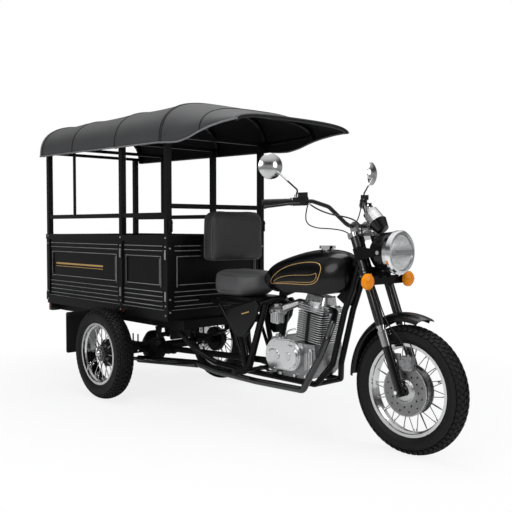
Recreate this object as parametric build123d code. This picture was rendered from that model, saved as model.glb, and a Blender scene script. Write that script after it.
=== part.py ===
from build123d import *
import math
import os

# Motor cargo tricycle: a motorcycle front end, open engine and fork joined to a two-wheeled
# cargo chassis with a roofed box. Millimetres; +X forward, +Y to the vehicle's left, +Z up,
# origin on the ground at mid length. A "station" is a distance ahead of the rear axle.

# Running gear
wheelbase = 2122.0
tyre_gap = 35.0
rear_overhang = 1035.0
front_tyre_r = 330.0
front_tyre_w = 98.0
front_rim_r = 238.5
front_rim_w = 66.0
front_hub_r = 128.0
front_hub_half = 40.0
front_spoke_r = 2.0
front_spoke_pairs = 9
rear_tyre_r = 305.0
rear_tyre_w = 125.0
rear_rim_r = 207.0
rear_rim_w = 102.0
rear_hub_r = 44.0
rear_spoke_r = 3.2
rear_spoke_pairs = 6
rim_t = 3.5
flange_h = 12.0
well_h = 10.0
tyre_t = 11.0
disc_r = 132.0
drum_hub_r = 118.0
disc_t = 4.5
drum_r = 92.0
drum_w = 34.0

# Fork and head
rake = 21.0
fork_offset = 45.0
leg_y = 84.0
leg_top = 850.0
stanchion_r = 21.0
slider_r = 24.0
sleeve_r = 25.0
slider_top = 232.0
cone_top = 316.0
sleeve_bottom = 336.0
lower_yoke_s = 633.0
lower_yoke_t = 34.0
upper_yoke_s = 836.0
upper_yoke_t = 24.0
stem_r = 14.0
head_r = 26.0
axle_r = 8.0

# Clearances
fit = 0.3
run_gap = 0.5

# Cargo box
box_front = 598.0
box_half = 410.0
track = 2 * (box_half + tyre_gap) + rear_tyre_w
box_low = 565.0
box_high = 1101.0
wall_t = 26.0
skin_t = 16.0
floor_t = 20.0
gate_t = 24.0
knuckle_r = 9.0
post_w = 36.0
post_top = 1710.0
mid_post = 62.0
rail_z = box_high + 129.0
rail_w = 30.0
front_rail_z = box_high + 184.0

# Canopy
canopy_half = 461.0
canopy_edge_z = 1690.0
canopy_edge_fall = 22.0
visor_bow = 1025.0
canopy_crown_z = 1945.0
canopy_rear = -992.0
canopy_front = 1316.0
canopy_t = 6.0
bow_t = 22.0

# Chassis
rail_y = 290.0
rail_section_w = 44.0
rail_section_h = 60.0
leaf_w = 60.0
leaf_t = 7.0
leaf_count = 4
spring_chord = 760.0
spring_drop = 88.0
spring_eye_z = 452.0
axle_tube_r = 30.0
shaft_r = 16.0
diff_r = 116.0
diff_y = -100.0
prop_front_y = -40.0
frame_r = 17.0
cradle_z = 282.0
seat_rail_z = 690.0

# Engine
crank_half = 112.0
cover_station = 1386.0
cover_z = 426.0
cover_r = 90.0
gear_cover_station = 1290.0
gear_cover_z = 416.0
gear_cover_r = 95.0
cylinder_lean = 8.0
cylinder_station = 1476.0
cylinder_base_z = 500.0
fin_pitch = 12.7
fin_t = 4.4
fin_count = 13
fin_half_x = 96.0
fin_half_y = 88.0
bore_r = 52.0

rear_axle_x = -(wheelbase + front_tyre_r - rear_overhang) / 2
front_axle_x = rear_axle_x + wheelbase
BASE = (Align.CENTER, Align.CENTER, Align.MIN)
LOW = (Align.MIN, Align.MIN, Align.MIN)


def st(station):
    """Row x of a station measured ahead of the rear axle."""
    return rear_axle_x + station


def block(x0, x1, y0, y1, z0, z1):
    return Pos(x0, y0, z0) * Box(x1 - x0, y1 - y0, z1 - z0, align=LOW)


def rod(start, end, radius):
    a, b = Vector(*start), Vector(*end)
    return Plane(origin=a, z_dir=b - a) * Cylinder(radius, (b - a).length, align=BASE)


def tube(points, radius, bend):
    path = FilletPolyline(*points, radius=bend)
    return sweep(Plane(origin=path @ 0, z_dir=path % 0) * Circle(radius), path=path)


def side_plate(points, y0, y1):
    """Outline in x and z, given in order, filled from y0 to y1."""
    face = make_face(Polyline(*points, close=True))
    return extrude(Plane.XZ.offset(-y1) * face, amount=y1 - y0)


def across(radius, y0, y1, x=0.0, z=0.0):
    """Round bar along y."""
    return rod((x, y0, z), (x, y1, z), radius)


def both_sides(shape):
    return [shape, mirror(shape, about=Plane.XZ)]


def save(name, *solids):
    export_step(solids[0] if len(solids) == 1 else Compound(children=list(solids)), f"parts/{name}.step")


# Wheels

def tyre(radius, width, rim_r, rim_w):
    """Hollow tyre section, open to the rim, turned about the y axis."""
    seat_y = rim_w / 2 - rim_t
    seat_r = rim_r - flange_h
    side_r = rim_r + (radius - rim_r) * 0.5
    tread = width * 0.37
    shoulder_r = radius - width * 0.09
    half = width / 2
    outer = [
        Line((seat_y, seat_r), (seat_y, rim_r)),
        TangentArc((half, side_r), (seat_y, rim_r), tangent=(0, -1)),
        TangentArc((half, side_r), (tread, shoulder_r), tangent=(0, 1)),
        ThreePointArc((tread, shoulder_r), (0, radius), (-tread, shoulder_r)),
        TangentArc((-half, side_r), (-tread, shoulder_r), tangent=(0, 1)),
        TangentArc((-half, side_r), (-seat_y, rim_r), tangent=(0, -1)),
        Line((-seat_y, rim_r), (-seat_y, seat_r)),
    ]
    lip = seat_y - tyre_t
    wall = half - tyre_t
    crown_r = radius - tyre_t * 1.6
    inner = [
        Line((-seat_y, seat_r), (-lip, seat_r)),
        Line((-lip, seat_r), (-wall, side_r)),
        ThreePointArc((-wall, side_r), (0, crown_r), (wall, side_r)),
        Line((wall, side_r), (lip, seat_r)),
        Line((lip, seat_r), (seat_y, seat_r)),
    ]
    return revolve(Plane.YZ * make_face(outer + inner), axis=Axis.Y)


def rim(rim_r, rim_w):
    """Rolled rim: flanges, bead seats and a dropped well, turned about the y axis."""
    half = rim_w / 2
    seat_r = rim_r - flange_h
    well_r = seat_r - well_h
    seat_in = half - 16
    well_in = half - 24
    over = [(-half, rim_r), (-half + rim_t, rim_r), (-half + rim_t, seat_r), (-seat_in, seat_r),
            (-well_in, well_r), (well_in, well_r), (seat_in, seat_r), (half - rim_t, seat_r),
            (half - rim_t, rim_r), (half, rim_r)]
    under = [(half, seat_r - rim_t), (seat_in, seat_r - rim_t), (well_in, well_r - rim_t),
             (-well_in, well_r - rim_t), (-seat_in, seat_r - rim_t), (-half, seat_r - rim_t)]
    return revolve(Plane.YZ * make_face(Polyline(*over, *under, close=True)), axis=Axis.Y)


def spokes(pairs, hub_r, hub_y, nipple_r, nipple_y, radius, lean):
    """Laced wire spokes: on each hub flange, pairs that lean opposite ways round the wheel."""
    wires = []
    for side in (-1, 1):
        for turn in range(pairs):
            for way in (-1, 1):
                root = 360.0 / pairs * (turn + side * 0.25)
                tip = math.radians(root + way * lean)
                foot = math.radians(root + way * lean * 0.35)
                a = (hub_r * math.cos(foot), side * hub_y, hub_r * math.sin(foot))
                b = (nipple_r * math.cos(tip), side * nipple_y, nipple_r * math.sin(tip))
                wires.append(rod(a, b, radius))
    return wires


def ring(outer_r, inner_r, y0, y1):
    return across(outer_r, y0, y1) - across(inner_r, y0 - 1, y1 + 1)


def front_wheel():
    """Rim, laced spokes and a full-width drum hub that turns on the front axle."""
    well = front_rim_r - flange_h - well_h - rim_t / 2
    flange_y = 26.0
    hub = across(30, -front_hub_half, front_hub_half)
    hub += across(drum_hub_r, -flange_y, flange_y)
    hub += across(drum_hub_r * 0.8, flange_y, front_hub_half - 3)
    for side in (-1, 1):
        hub += across(front_hub_r, *sorted((side * flange_y, side * (flange_y - 6))))
    wheel = rim(front_rim_r, front_rim_w) + hub
    wheel += spokes(front_spoke_pairs, front_hub_r - 6, flange_y - 3, well, 6, front_spoke_r, 9)
    return wheel - across(axle_r + run_gap, -front_hub_half - 1, front_hub_half + 1)


def brake_disc():
    """Drilled disc bolted to the hub's right end."""
    outer = -front_hub_half
    disc = ring(disc_r, 58, outer - disc_t, outer)
    disc += ring(34, axle_r + 3, outer - disc_t, outer)
    dome = [(axle_r + 3, outer - 17), (34, outer - 17), (50, outer - 13), (60, outer - disc_t),
            (72, outer - disc_t), (72, outer), (34, outer), (axle_r + 3, outer)]
    disc += revolve(Plane.YZ * make_face(Polyline(*[(y, r) for r, y in dome], close=True)), axis=Axis.Y)
    for turn in range(6):
        arm = block(30, 62, -7, 7, 0, disc_t)
        disc += Rot(0, turn * 60.0, 0) * (Pos(0, outer, 0) * Rot(90, 0, 0) * arm)
    holes = []
    for turn in range(12):
        for row, radius in enumerate((84.0, 108.0)):
            angle = math.radians(30.0 * turn + 15.0 * row)
            holes.append(across(5, outer - disc_t - 1, outer + 1,
                                radius * math.cos(angle), radius * math.sin(angle)))
    return disc - holes


def rear_wheel():
    """Rear rim, heavy spokes, hub, brake drum and the half shaft that runs in the axle tube."""
    well = rear_rim_r - flange_h - well_h - rim_t / 2
    drum_out = -26
    hub = across(36, drum_out, 30)
    hub += across(rear_hub_r + 8, 18, 26)
    hub += across(rear_hub_r + 8, drum_out, -18)
    hub += across(22, 30, 44)
    hub += across(drum_r, drum_out - drum_w, drum_out) - across(drum_r - 6, drum_out - drum_w - 1,
                                                              drum_out - 6)
    hub += across(shaft_r, drum_out - drum_w - shaft_reach, drum_out)
    wheel = rim(rear_rim_r, rear_rim_w) + hub
    wheel += spokes(rear_spoke_pairs, rear_hub_r, 22, well, 10, rear_spoke_r, 17)
    return wheel


shaft_reach = 40.0


# Fork frame: x ahead of the legs, y left, z up along the legs from the front axle
lean = math.radians(rake)
fork_plane = Plane(origin=(front_axle_x, 0, front_tyre_r),
                   x_dir=(math.cos(lean), 0, math.sin(lean)),
                   z_dir=(-math.sin(lean), 0, math.cos(lean)))


def fork_point(x, y, s):
    """Row point of a place in the fork frame."""
    return (front_axle_x + x * math.cos(lean) - s * math.sin(lean), y,
            front_tyre_r + x * math.sin(lean) + s * math.cos(lean))


def leg_bar(radius, s0, s1, y=leg_y, x=0.0, taper=None):
    """Piece of a fork leg in the fork frame."""
    if taper is None:
        return Pos(x, y, s0) * Cylinder(radius, s1 - s0, align=BASE)
    return Pos(x, y, s0) * Cone(radius, taper, s1 - s0, align=BASE)


def fork_legs():
    leg = leg_bar(slider_r, -26, slider_top)
    leg += leg_bar(slider_r + 1, slider_top, cone_top, taper=slider_r + 4)
    leg += leg_bar(stanchion_r, cone_top, leg_top)
    leg += leg_bar(sleeve_r, sleeve_bottom, lower_yoke_s - lower_yoke_t / 2)
    leg += leg_bar(sleeve_r, lower_yoke_s + lower_yoke_t / 2, upper_yoke_s - upper_yoke_t / 2)
    legs = [fork_plane * solid for solid in both_sides(leg)]
    spindle = across(axle_r, -leg_y - 34, leg_y + 34, front_axle_x, front_tyre_r)
    nuts = [across(13, side * (leg_y + slider_r), side * (leg_y + slider_r + 9),
                   front_axle_x, front_tyre_r) for side in (-1, 1)]
    spacer = leg_y - slider_r
    inner = [across(24, side * (front_hub_half + 13 + disc_t + fit), side * (spacer + 4),
                    front_axle_x, front_tyre_r) for side in (-1, 1)]
    return legs[0] + legs[1] + spindle + nuts + inner


def yoke(middle, thick, reach):
    """Yoke plate across both legs, drilled for them, in the fork frame."""
    outline = Polyline((-fork_offset - 24, -20), (-fork_offset - 24, 20), (-20, leg_y + 34),
                       (30, leg_y + 34), (reach, 34), (reach, -34), (30, -leg_y - 34),
                       (-20, -leg_y - 34), close=True)
    face = make_face(outline)
    face = fillet(face.vertices(), 14)
    plate = extrude(Plane.XY.offset(middle - thick / 2) * face, amount=thick)
    holes = [leg_bar(stanchion_r, middle - thick, middle + thick, y) for y in (-leg_y, leg_y)]
    return plate - holes


def fork_yokes():
    """Two yokes and the stem that turns in the head tube, with the handlebar risers."""
    body = yoke(lower_yoke_s, lower_yoke_t, 30) + yoke(upper_yoke_s, upper_yoke_t, 22)
    body += leg_bar(stem_r, lower_yoke_s, upper_yoke_s + upper_yoke_t, 0, -fork_offset)
    body += leg_bar(19, upper_yoke_s + upper_yoke_t / 2, upper_yoke_s + upper_yoke_t / 2 + 14, 0,
                    -fork_offset)
    top = upper_yoke_s + upper_yoke_t / 2
    for y in (-48, 48):
        body += Pos(bar_local_x, y, top) * Box(40, 26, bar_local_s - top + 17, align=BASE)
    body -= Pos(bar_local_x, 0, bar_local_s) * Rot(90, 0, 0) * Cylinder(bar_r + fit, 200)
    return fork_plane * body


# Handlebar, its middle clamped on the upper yoke's risers
bar_r = 11.0
bar_local_x = -15.0
bar_local_s = 894.0
bar_flat = 92.0
bar_rise = [(1700, 150, 1262), (1640, 215, 1292), (1470, 410, 1284)]
bar_middle = fork_point(bar_local_x, 0, bar_local_s)
grip_r = 17.0
pod_half = 20.0


def bar_point(share):
    """Point on the straight outer run of the left bar, at a share of its length."""
    a, b = bar_rise[1], bar_rise[2]
    return tuple((st(p) if k == 0 else p) + share * (q - p) for k, (p, q) in enumerate(zip(a, b)))


def bar_frame(share):
    """Frame on the left bar's outer run: x ahead of the bar, y down, z outwards along it."""
    a, b = Vector(*bar_point(0)), Vector(*bar_point(1))
    out = (b - a).normalized()
    ahead = out.cross(Vector(0, 0, 1)).normalized()
    return Plane(origin=Vector(*bar_point(share)), x_dir=ahead, z_dir=out)


def handlebar():
    left = [(st(x), y, z) for x, y, z in bar_rise]
    right = [(x, -y, z) for x, y, z in reversed(left)]
    centre = [(bar_middle[0], y, bar_middle[2]) for y in (-bar_flat, bar_flat)]
    return tube(right + centre + left, bar_r, 42)


def grips():
    """Rubber grips with an end flange, slipped over the bar."""
    a, b = Vector(*bar_point(0.42)), Vector(*bar_point(1.0))
    out = (b - a).normalized()
    sleeve = rod(a, b + out * 4, grip_r) + rod(a, a + out * 6, grip_r + 5)
    sleeve -= rod(a - out, b, bar_r)
    return both_sides(sleeve)


def switch_pods():
    """Switch and master cylinder housings clamped inboard of the grips."""
    size = (Vector(*bar_point(0.40)) - Vector(*bar_point(0.08))).length
    pod = Box(2 * pod_half, 44, size, align=BASE)
    pod += Pos(6, -34, size * 0.05) * Box(44, 26, size * 0.6, align=BASE)
    pod -= Cylinder(bar_r, 3 * size)
    return both_sides(bar_frame(0.08) * pod)


def control_levers():
    """Brake and clutch levers ahead of the grips."""
    length = (Vector(*bar_rise[2]) - Vector(*bar_rise[1])).length
    root = (36, 12, 0)
    bend = (52, 14, 0.30 * length)
    tip = (46, 26, 0.78 * length)
    blade = tube([root, bend, tip], 6.5, 25) + Pos(*tip) * Sphere(9)
    perch = block(pod_half + fit, 46, -2, 20, -12, 18)
    return both_sides(bar_frame(0.20) * (blade + perch))


mirror_centre = (1535, 420, 1472)
mirror_r = 68.0
mirror_toe = 20.0


def mirrors():
    """Round mirrors: a convex back shell on a bent stalk from the switch pod."""
    face = Vector(st(mirror_centre[0]), mirror_centre[1], mirror_centre[2])
    toe = math.radians(mirror_toe)
    out = Vector(math.cos(toe), math.sin(toe), 0)
    depth = 26.0
    ball_r = (mirror_r ** 2 + depth ** 2) / (2 * depth)
    dome = Plane(origin=face, z_dir=out, x_dir=(0, 0, 1))
    cap = dome * (Pos(0, 0, depth - ball_r) * Sphere(ball_r) & Cylinder(mirror_r + 5, depth + 5,
                                                                        align=BASE))
    shell = cap + dome * (Pos(0, 0, -8) * Cylinder(mirror_r, 8, align=BASE))
    foot = Vector(*bar_point(0.34)) + Vector(0, 0, 26 + fit)
    knee = foot + Vector(10, -6, 34)
    reach = face + out * (depth - 3) + Vector(0, -26, -22)
    stalk = tube([tuple(foot), tuple(knee), tuple(reach)], 4.5, 16)
    return both_sides(shell + stalk)


# Lamps and instrument
lamp_station = 2059.0
lamp_z = 1024.0
lens_r = 94.0
lamp_rim_r = 114.0
lamp_depth = 165.0
ring_depth = 38.0


def headlamp_shell():
    """Bowl behind the lens, open at the front, turned about its level axis."""
    outer = [(0, 0), (0, 44), (14, 68), (38, 90), (70, 102), (110, 106), (lamp_depth, 106)]
    inner = [(lamp_depth, 102), (110, 102), (72, 98), (42, 86), (19, 65), (6, 42), (6, 0)]
    face = make_face(Polyline(*outer, *inner, close=True))
    bowl = revolve(face, axis=Axis.X)
    for side in (-1, 1):
        bowl += across(9, *sorted((side * 100, side * (leg_y + sleeve_r))), lamp_depth - 60, 0)
    return Pos(st(lamp_station) - lamp_depth, 0, lamp_z) * bowl


def headlamp_rim():
    """Bright ring that holds the lens to the bowl."""
    section = [(-ring_depth, 106 + fit), (-ring_depth, 109), (-14, lamp_rim_r), (0, lamp_rim_r), (10, 106),
               (12, lens_r),
               (fit, lens_r), (fit, 106 + fit)]
    band = revolve(make_face(Polyline(*section, close=True)), axis=Axis.X)
    return Pos(st(lamp_station), 0, lamp_z) * band


def headlamp_lens():
    """Slightly domed glass."""
    bulge = 14.0
    edge = 5.0
    rim = lens_r - fit
    ball_r = (rim ** 2 + bulge ** 2) / (2 * bulge)
    blank = Pos(0, 0, fit) * Cylinder(rim, edge + bulge, align=BASE)
    glass = blank & Pos(0, 0, edge + bulge - ball_r) * Sphere(ball_r)
    return Pos(st(lamp_station), 0, lamp_z) * Rot(0, 90, 0) * glass


indicator_station = 1971.0
indicator_y = 178.0
indicator_z = 879.0
indicator_r = 41.0
crossbar_half_h = 23.0


def lamp_brackets():
    """Headlamp ears clamped on the fork and the bar under the lamp that holds the indicators."""
    ear_out = leg_y + sleeve_r
    s_mid = (lamp_z - front_tyre_r) / math.cos(lean)
    leg_x = front_axle_x - s_mid * math.sin(lean)
    ears = []
    for side in (-1, 1):
        y0, y1 = sorted((side * (ear_out + fit), side * (ear_out + 5)))
        plate = side_plate([(leg_x - 6, lamp_z - 46), (leg_x + 8, lamp_z + 30),
                            (st(lamp_station) - 62, lamp_z + 16), (st(lamp_station) - 50, lamp_z),
                            (st(lamp_station) - 62, lamp_z - 16)], y0, y1)
        clamp = fork_plane * (leg_bar(ear_out - leg_y + 5, s_mid - 34, s_mid + 22, side * leg_y)
                              - leg_bar(sleeve_r + fit, s_mid - 40, s_mid + 30, side * leg_y))
        ears.append(plate + clamp)
    bar_x = st(indicator_station) - 14
    bar = block(bar_x - 8, bar_x, -indicator_y, indicator_y, indicator_z - crossbar_half_h,
                indicator_z + crossbar_half_h)
    under = lower_yoke_s - lower_yoke_t / 2 - fit
    for y in (-44, 24):
        bar += fork_plane * block(4, 54, y, y + 20, under - 34, under)
    return ears + [bar]


def indicators():
    """Round amber lamps on the ends of the crossbar."""
    back = st(indicator_station) - 14 + fit
    shape = [(0, 0), (0, 20), (8, indicator_r - 6), (18, indicator_r), (32, indicator_r),
             (41, indicator_r - 8), (47, 18), (49, 0)]
    lamp = revolve(make_face(Polyline(*shape, close=True)), axis=Axis.X)
    return both_sides(Pos(back, indicator_y - 8, indicator_z) * lamp)


def speedometer():
    """Single round instrument, a bright can in a dark cup, tilted to the rider."""
    low = Vector(st(1911), 0, 1175)
    high = Vector(st(1858), 0, 1233)
    along = (high - low).normalized()
    can = Plane(origin=low, z_dir=along) * Cone(46, 41, (high - low).length, align=BASE)
    cup = Plane(origin=low - along * 50, z_dir=along) * Cone(34, 51, 52, align=BASE)
    seat = upper_yoke_s + upper_yoke_t / 2 + fit
    arm = fork_plane * block(-8, 96, -20, 20, seat, seat + 5)
    return can + cup + arm


fender_half = 58.0
fender_gap = 35.0
fender_r = front_tyre_r + fender_gap
fender_t = 3.0
fender_ahead = -10.0
fender_above = 28.0
fender_drop = 44.0


def front_fender():
    """Crowned steel guard over the front tyre with a lifted nose and its fork pads."""
    drop = fender_drop
    outer = [Line((-fender_half, fender_r - drop), (-fender_half, fender_r - drop + 6)),
             ThreePointArc((-fender_half, fender_r - drop + 6), (0, fender_r),
                           (fender_half, fender_r - drop + 6)),
             Line((fender_half, fender_r - drop + 6), (fender_half, fender_r - drop))]
    inner_half = fender_half - fender_t
    inner = [Line((fender_half, fender_r - drop), (inner_half, fender_r - drop)),
             Line((inner_half, fender_r - drop), (inner_half, fender_r - drop + 4)),
             ThreePointArc((inner_half, fender_r - drop + 4), (0, fender_r - fender_t),
                           (-inner_half, fender_r - drop + 4)),
             Line((-inner_half, fender_r - drop + 4), (-inner_half, fender_r - drop)),
             Line((-inner_half, fender_r - drop), (-fender_half, fender_r - drop))]
    section = Plane.YZ * make_face(outer + inner)
    arc = revolve(section, axis=Axis.Y, revolution_arc=116)
    guard = Pos(front_axle_x + fender_ahead, 0, front_tyre_r + fender_above) * Rot(0, -90, 0) * arc
    lip = [(fender_r * 0.415, 0), (fender_r * 0.21, fender_half + 4), (fender_r, fender_half + 4),
           (fender_r, -fender_half - 4), (fender_r * 0.21, -fender_half - 4)]
    nose = extrude(make_face(Polyline(*lip, close=True)), amount=fender_r)
    guard -= Pos(front_axle_x + fender_ahead, 0, front_tyre_r + fender_above + fender_drop) * nose
    pad_s = fender_r - drop + fender_above * math.cos(lean) - fender_ahead * math.sin(lean)
    for side in (-1, 1):
        y0, y1 = sorted((side * (fender_half - 1), side * (leg_y - sleeve_r - fit)))
        guard += fork_plane * block(4, 24, y0, y1, pad_s - 10, pad_s + 16)
    return guard


def brake_caliper():
    """Caliper straddling the disc on its carrier, bolted to the right leg."""
    inner = -front_hub_half
    place = Plane(origin=(front_axle_x, 0, front_tyre_r), x_dir=(1, 0, 0), z_dir=(0, 0, 1))
    body = block(-4, 66, -68, -32, 104, 176) - block(-14, 90, inner - disc_t - 2, inner + 2, 80, disc_r + 4)
    body += across(19, -76, -60, 14, 142) + across(19, -76, -60, 50, 138)
    carrier = block(-62, 0, -leg_y + 12, -leg_y + 26, 108, 190)
    carrier -= across(13, -leg_y, -32, -34, 150)
    caliper = Rot(0, -4, 0) * (body + carrier)
    caliper = place * caliper
    return caliper - fork_plane * leg_bar(slider_r + fit, -60, slider_top + 30, -leg_y)


# Frames

neck_point = fork_point(-fork_offset, 0, lower_yoke_s + 78)
down_knee = (st(1716), 35, 700)
down_foot = (st(1632), 36, 395)
spine_end = (st(1190), 0, 750)
spine_r = 20.0


def main_frame():
    """Head tube, backbone, twin downtubes, lower cradle, uprights and seat rails."""
    s0 = lower_yoke_s + lower_yoke_t / 2 + fit
    s1 = upper_yoke_s - upper_yoke_t / 2 - fit
    head = fork_plane * (leg_bar(head_r, s0, s1, 0, -fork_offset)
                         + leg_bar(head_r + 4, s0, s0 + 16, 0, -fork_offset)
                         + leg_bar(head_r + 4, s1 - 16, s1, 0, -fork_offset))
    throat = fork_point(-fork_offset, 0, s0 + 110)
    frame = head + rod(neck_point, spine_end, spine_r)
    for side in (-1, 1):
        y = side
        frame += tube([throat, (st(1768), 30 * y, 826), (down_knee[0], down_knee[1] * y, down_knee[2]),
                       (down_foot[0], down_foot[1] * y, down_foot[2]),
                       (st(1570), 104 * y, cradle_z), (st(1010), 118 * y, cradle_z),
                       (st(905), 122 * y, seat_rail_z)], frame_r, 30)
        frame += tube([(st(1212), 0, seat_rail_z + 50), (st(1120), 118 * y, seat_rail_z),
                       (st(box_front + 3), 150 * y, seat_rail_z)], frame_r, 40)
        frame += rod((st(1150), 96 * y, seat_rail_z + 10), (st(1030), 118 * y, 300), frame_r + 4)
        frame += tube([(st(760), 138 * y, seat_rail_z), (st(900), 118 * y, 500), (st(985), 118 * y, 320)],
                      11, 30)
        frame += tube([(st(1020), 118 * y, cradle_z), (st(760), 150 * y, 300), (st(640), 230 * y, 380),
                       (st(560), rail_y * y, 487)], frame_r, 60)
        frame += block(st(540), st(580), rail_y * y - 16, rail_y * y + 16, 478,
                       box_low - 2 * fit - rail_section_h)
    frame += across(14, -104, 104, st(1566), cradle_z)
    frame += across(14, -118, 118, st(1012), cradle_z)
    gusset = side_plate([(st(1640), 768), (st(1770), 880), (st(1760), 800), (st(1722), 724), (st(1706), 724)],
                        -16, 16)
    frame += gusset
    return frame - fork_plane * leg_bar(stem_r + run_gap, s0 - 60, s1 + 60, 0, -fork_offset)


def rear_chassis():
    """Two box rails under the load floor with cross members and spring hangers."""
    top = box_low - fit
    low = top - rail_section_h
    front = box_front + 40
    tail = -rear_overhang + 60
    half = rail_section_w / 2
    frame = Part()
    for side in (-1, 1):
        y0, y1 = side * rail_y - half, side * rail_y + half
        frame += block(st(tail), st(front), y0, y1, low, top)
        for end in (-spring_chord / 2, spring_chord / 2):
            frame += block(st(end - 34), st(end + 34), side * rail_y - leaf_w / 2 - 8,
                           side * rail_y + leaf_w / 2 + 8, low - 6, low)
            for y in (side * rail_y - leaf_w / 2 - 8, side * rail_y + leaf_w / 2 + 2):
                hanger = side_plate([(st(end - 34), low - 2), (st(end - 20), spring_eye_z - 18),
                                     (st(end + 20), spring_eye_z - 18), (st(end + 34), low - 2)],
                                    y, y + 6)
                frame += hanger
            frame += across(7, side * rail_y - leaf_w / 2 - 12, side * rail_y + leaf_w / 2 + 12,
                            st(end), spring_eye_z)
    for station in (tail, -560, 560, front - 44):
        frame += block(st(station), st(station + 44), -rail_y, rail_y, low + 8, top)
    return frame


def leaf_point(radius, centre_z, turn):
    return rear_axle_x + radius * math.sin(turn), centre_z - radius * math.cos(turn)


def leaf_springs():
    """Leaf packs, each leaf shorter than the one above, with rolled eyes and U-bolts."""
    chord = spring_chord / 2
    arc_r = (chord ** 2 + spring_drop ** 2) / (2 * spring_drop)
    centre_z = spring_eye_z - spring_drop + arc_r
    packs = []
    for side in (-1, 1):
        pack = Part()
        for leaf in range(leaf_count):
            outer_r = arc_r + leaf_t * (leaf + 1)
            share = math.degrees(math.asin(chord / arc_r)) * (1 - 0.22 * leaf)
            swing = math.radians(share)
            under = [leaf_point(outer_r, centre_z, turn) for turn in (-swing, 0, swing)]
            above = [leaf_point(outer_r - leaf_t, centre_z, turn) for turn in (swing, 0, -swing)]
            face = make_face([ThreePointArc(*under), Line(under[2], above[0]),
                              ThreePointArc(*above), Line(above[2], under[0])])
            middle = side * rail_y
            pack += extrude(Plane.XZ.offset(-(middle + leaf_w / 2)) * face, amount=leaf_w)
        for end in (-1, 1):
            eye = across(15, side * rail_y - leaf_w / 2, side * rail_y + leaf_w / 2,
                         st(end * chord), spring_eye_z)
            pack += eye
            pack -= across(7 + fit, side * rail_y - 50, side * rail_y + 50, st(end * chord), spring_eye_z)
        packs.append(pack)
    return packs


nose_reach = 168.0
prop_joint_r = 34.0
prop_front_z = 352.0
gearbox_back = 1196.0


def prop_line():
    """Direction and length of the line from the axle's middle to the gearbox."""
    run = Vector(gearbox_back, prop_front_y - diff_y, prop_front_z - rear_tyre_r)
    return run.normalized(), run.length


def rear_axle():
    """Axle tube, differential housing, spring seats and brake backplates."""
    z = rear_tyre_r
    tube_end = track / 2 - 26 - drum_w - run_gap
    body = across(axle_tube_r, -tube_end, tube_end, rear_axle_x, z)
    shape = [(-70, 0), (-70, 46), (-46, 88), (-16, diff_r), (16, diff_r), (46, 88), (70, 46), (70, 0)]
    body += Pos(rear_axle_x, diff_y, z) * revolve(Plane.YZ * make_face(Polyline(*shape, close=True)),
                                                  axis=Axis.Y)
    way, _ = prop_line()
    centre = Vector(rear_axle_x, diff_y, z)
    body += rod(centre + way * 60, centre + way * nose_reach, 40)
    for side in (-1, 1):
        y0, y1 = sorted((side * (tube_end - 6), side * tube_end))
        body += across(drum_r - 8, y0, y1, rear_axle_x, z)
        seat_low = spring_eye_z - spring_drop - leaf_t * leaf_count - fit
        body += block(rear_axle_x - 45, rear_axle_x + 45, side * rail_y - leaf_w / 2 - 10,
                      side * rail_y + leaf_w / 2 + 10, z, seat_low)
    for side in (-1, 1):
        bore = sorted((side * (tube_end - shaft_reach - 20), side * track))
        body -= across(shaft_r + run_gap, *bore, rear_axle_x, z)
    return body


def prop_shaft():
    """Shaft from the gearbox output to the differential nose, with a joint at each end."""
    way, length = prop_line()
    a = Vector(rear_axle_x, diff_y, rear_tyre_r) + way * (nose_reach + fit)
    b = a + way * (length - nose_reach - 2 * fit - prop_joint_r * math.hypot(way.Y, way.Z))
    body = rod(a, b, 20)
    for base in (a, b - way * 60):
        body += rod(base, base + way * 60, prop_joint_r)
    return body


# Engine

def crankcase():
    """Crankcase and gearbox in one casting, wider at the gearbox."""
    sump = cradle_z + frame_r + fit
    outline = [(gearbox_back, 330), (1250, sump), (1500, sump), (1556, 350), (1572, 430),
               (1566, cylinder_base_z), (1380, cylinder_base_z), (1330, 524), (1230, 514),
               (gearbox_back, 470)]
    case = side_plate([(st(x), z) for x, z in outline], -crank_half, crank_half)
    return case


def engine_covers():
    """Long oval side covers with a raised round centre, on the right the clutch and on the left the dynamo."""
    covers = []
    for side, scale in ((-1, 1.0), (1, 0.88)):
        y0 = side * (crank_half + fit)
        cover = Part()
        for inset, depth in ((0.0, 20), (7.0, 30)):
            y = sorted((y0, y0 + side * depth))
            big, small = (cover_r - inset) * scale, (gear_cover_r - inset) * scale
            cover += across(big, *y, st(cover_station), cover_z)
            cover += across(small, *y, st(gear_cover_station), gear_cover_z)
            cover += side_plate([(st(cover_station), cover_z - big), (st(cover_station), cover_z + big),
                                 (st(gear_cover_station), gear_cover_z + small),
                                 (st(gear_cover_station), gear_cover_z - small)], *y)
        cover += across(cover_r * 0.72 * scale, *sorted((y0, y0 + side * 40)), st(cover_station) + 8, cover_z - 6)
        covers.append(cover)
    return covers


def tilted(shape):
    """Stand a cylinder piece on the crankcase, leaning forward."""
    return Pos(st(cylinder_station), 0, cylinder_base_z + fit) * Rot(0, cylinder_lean, 0) * shape


foot_h = 14.0
inlet_rise = 16.0
inlet_end = 126.0
outlet_rise = 30.0
outlet_end = 108.0
outlet_y = -30.0
barrel_h = foot_h + fin_pitch * fin_count


def fin(middle_z, half_x, half_y, corner=24.0):
    face = RectangleRounded(2 * half_x, 2 * half_y, corner)
    return Pos(0, 0, middle_z) * extrude(face, amount=fin_t)


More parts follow.
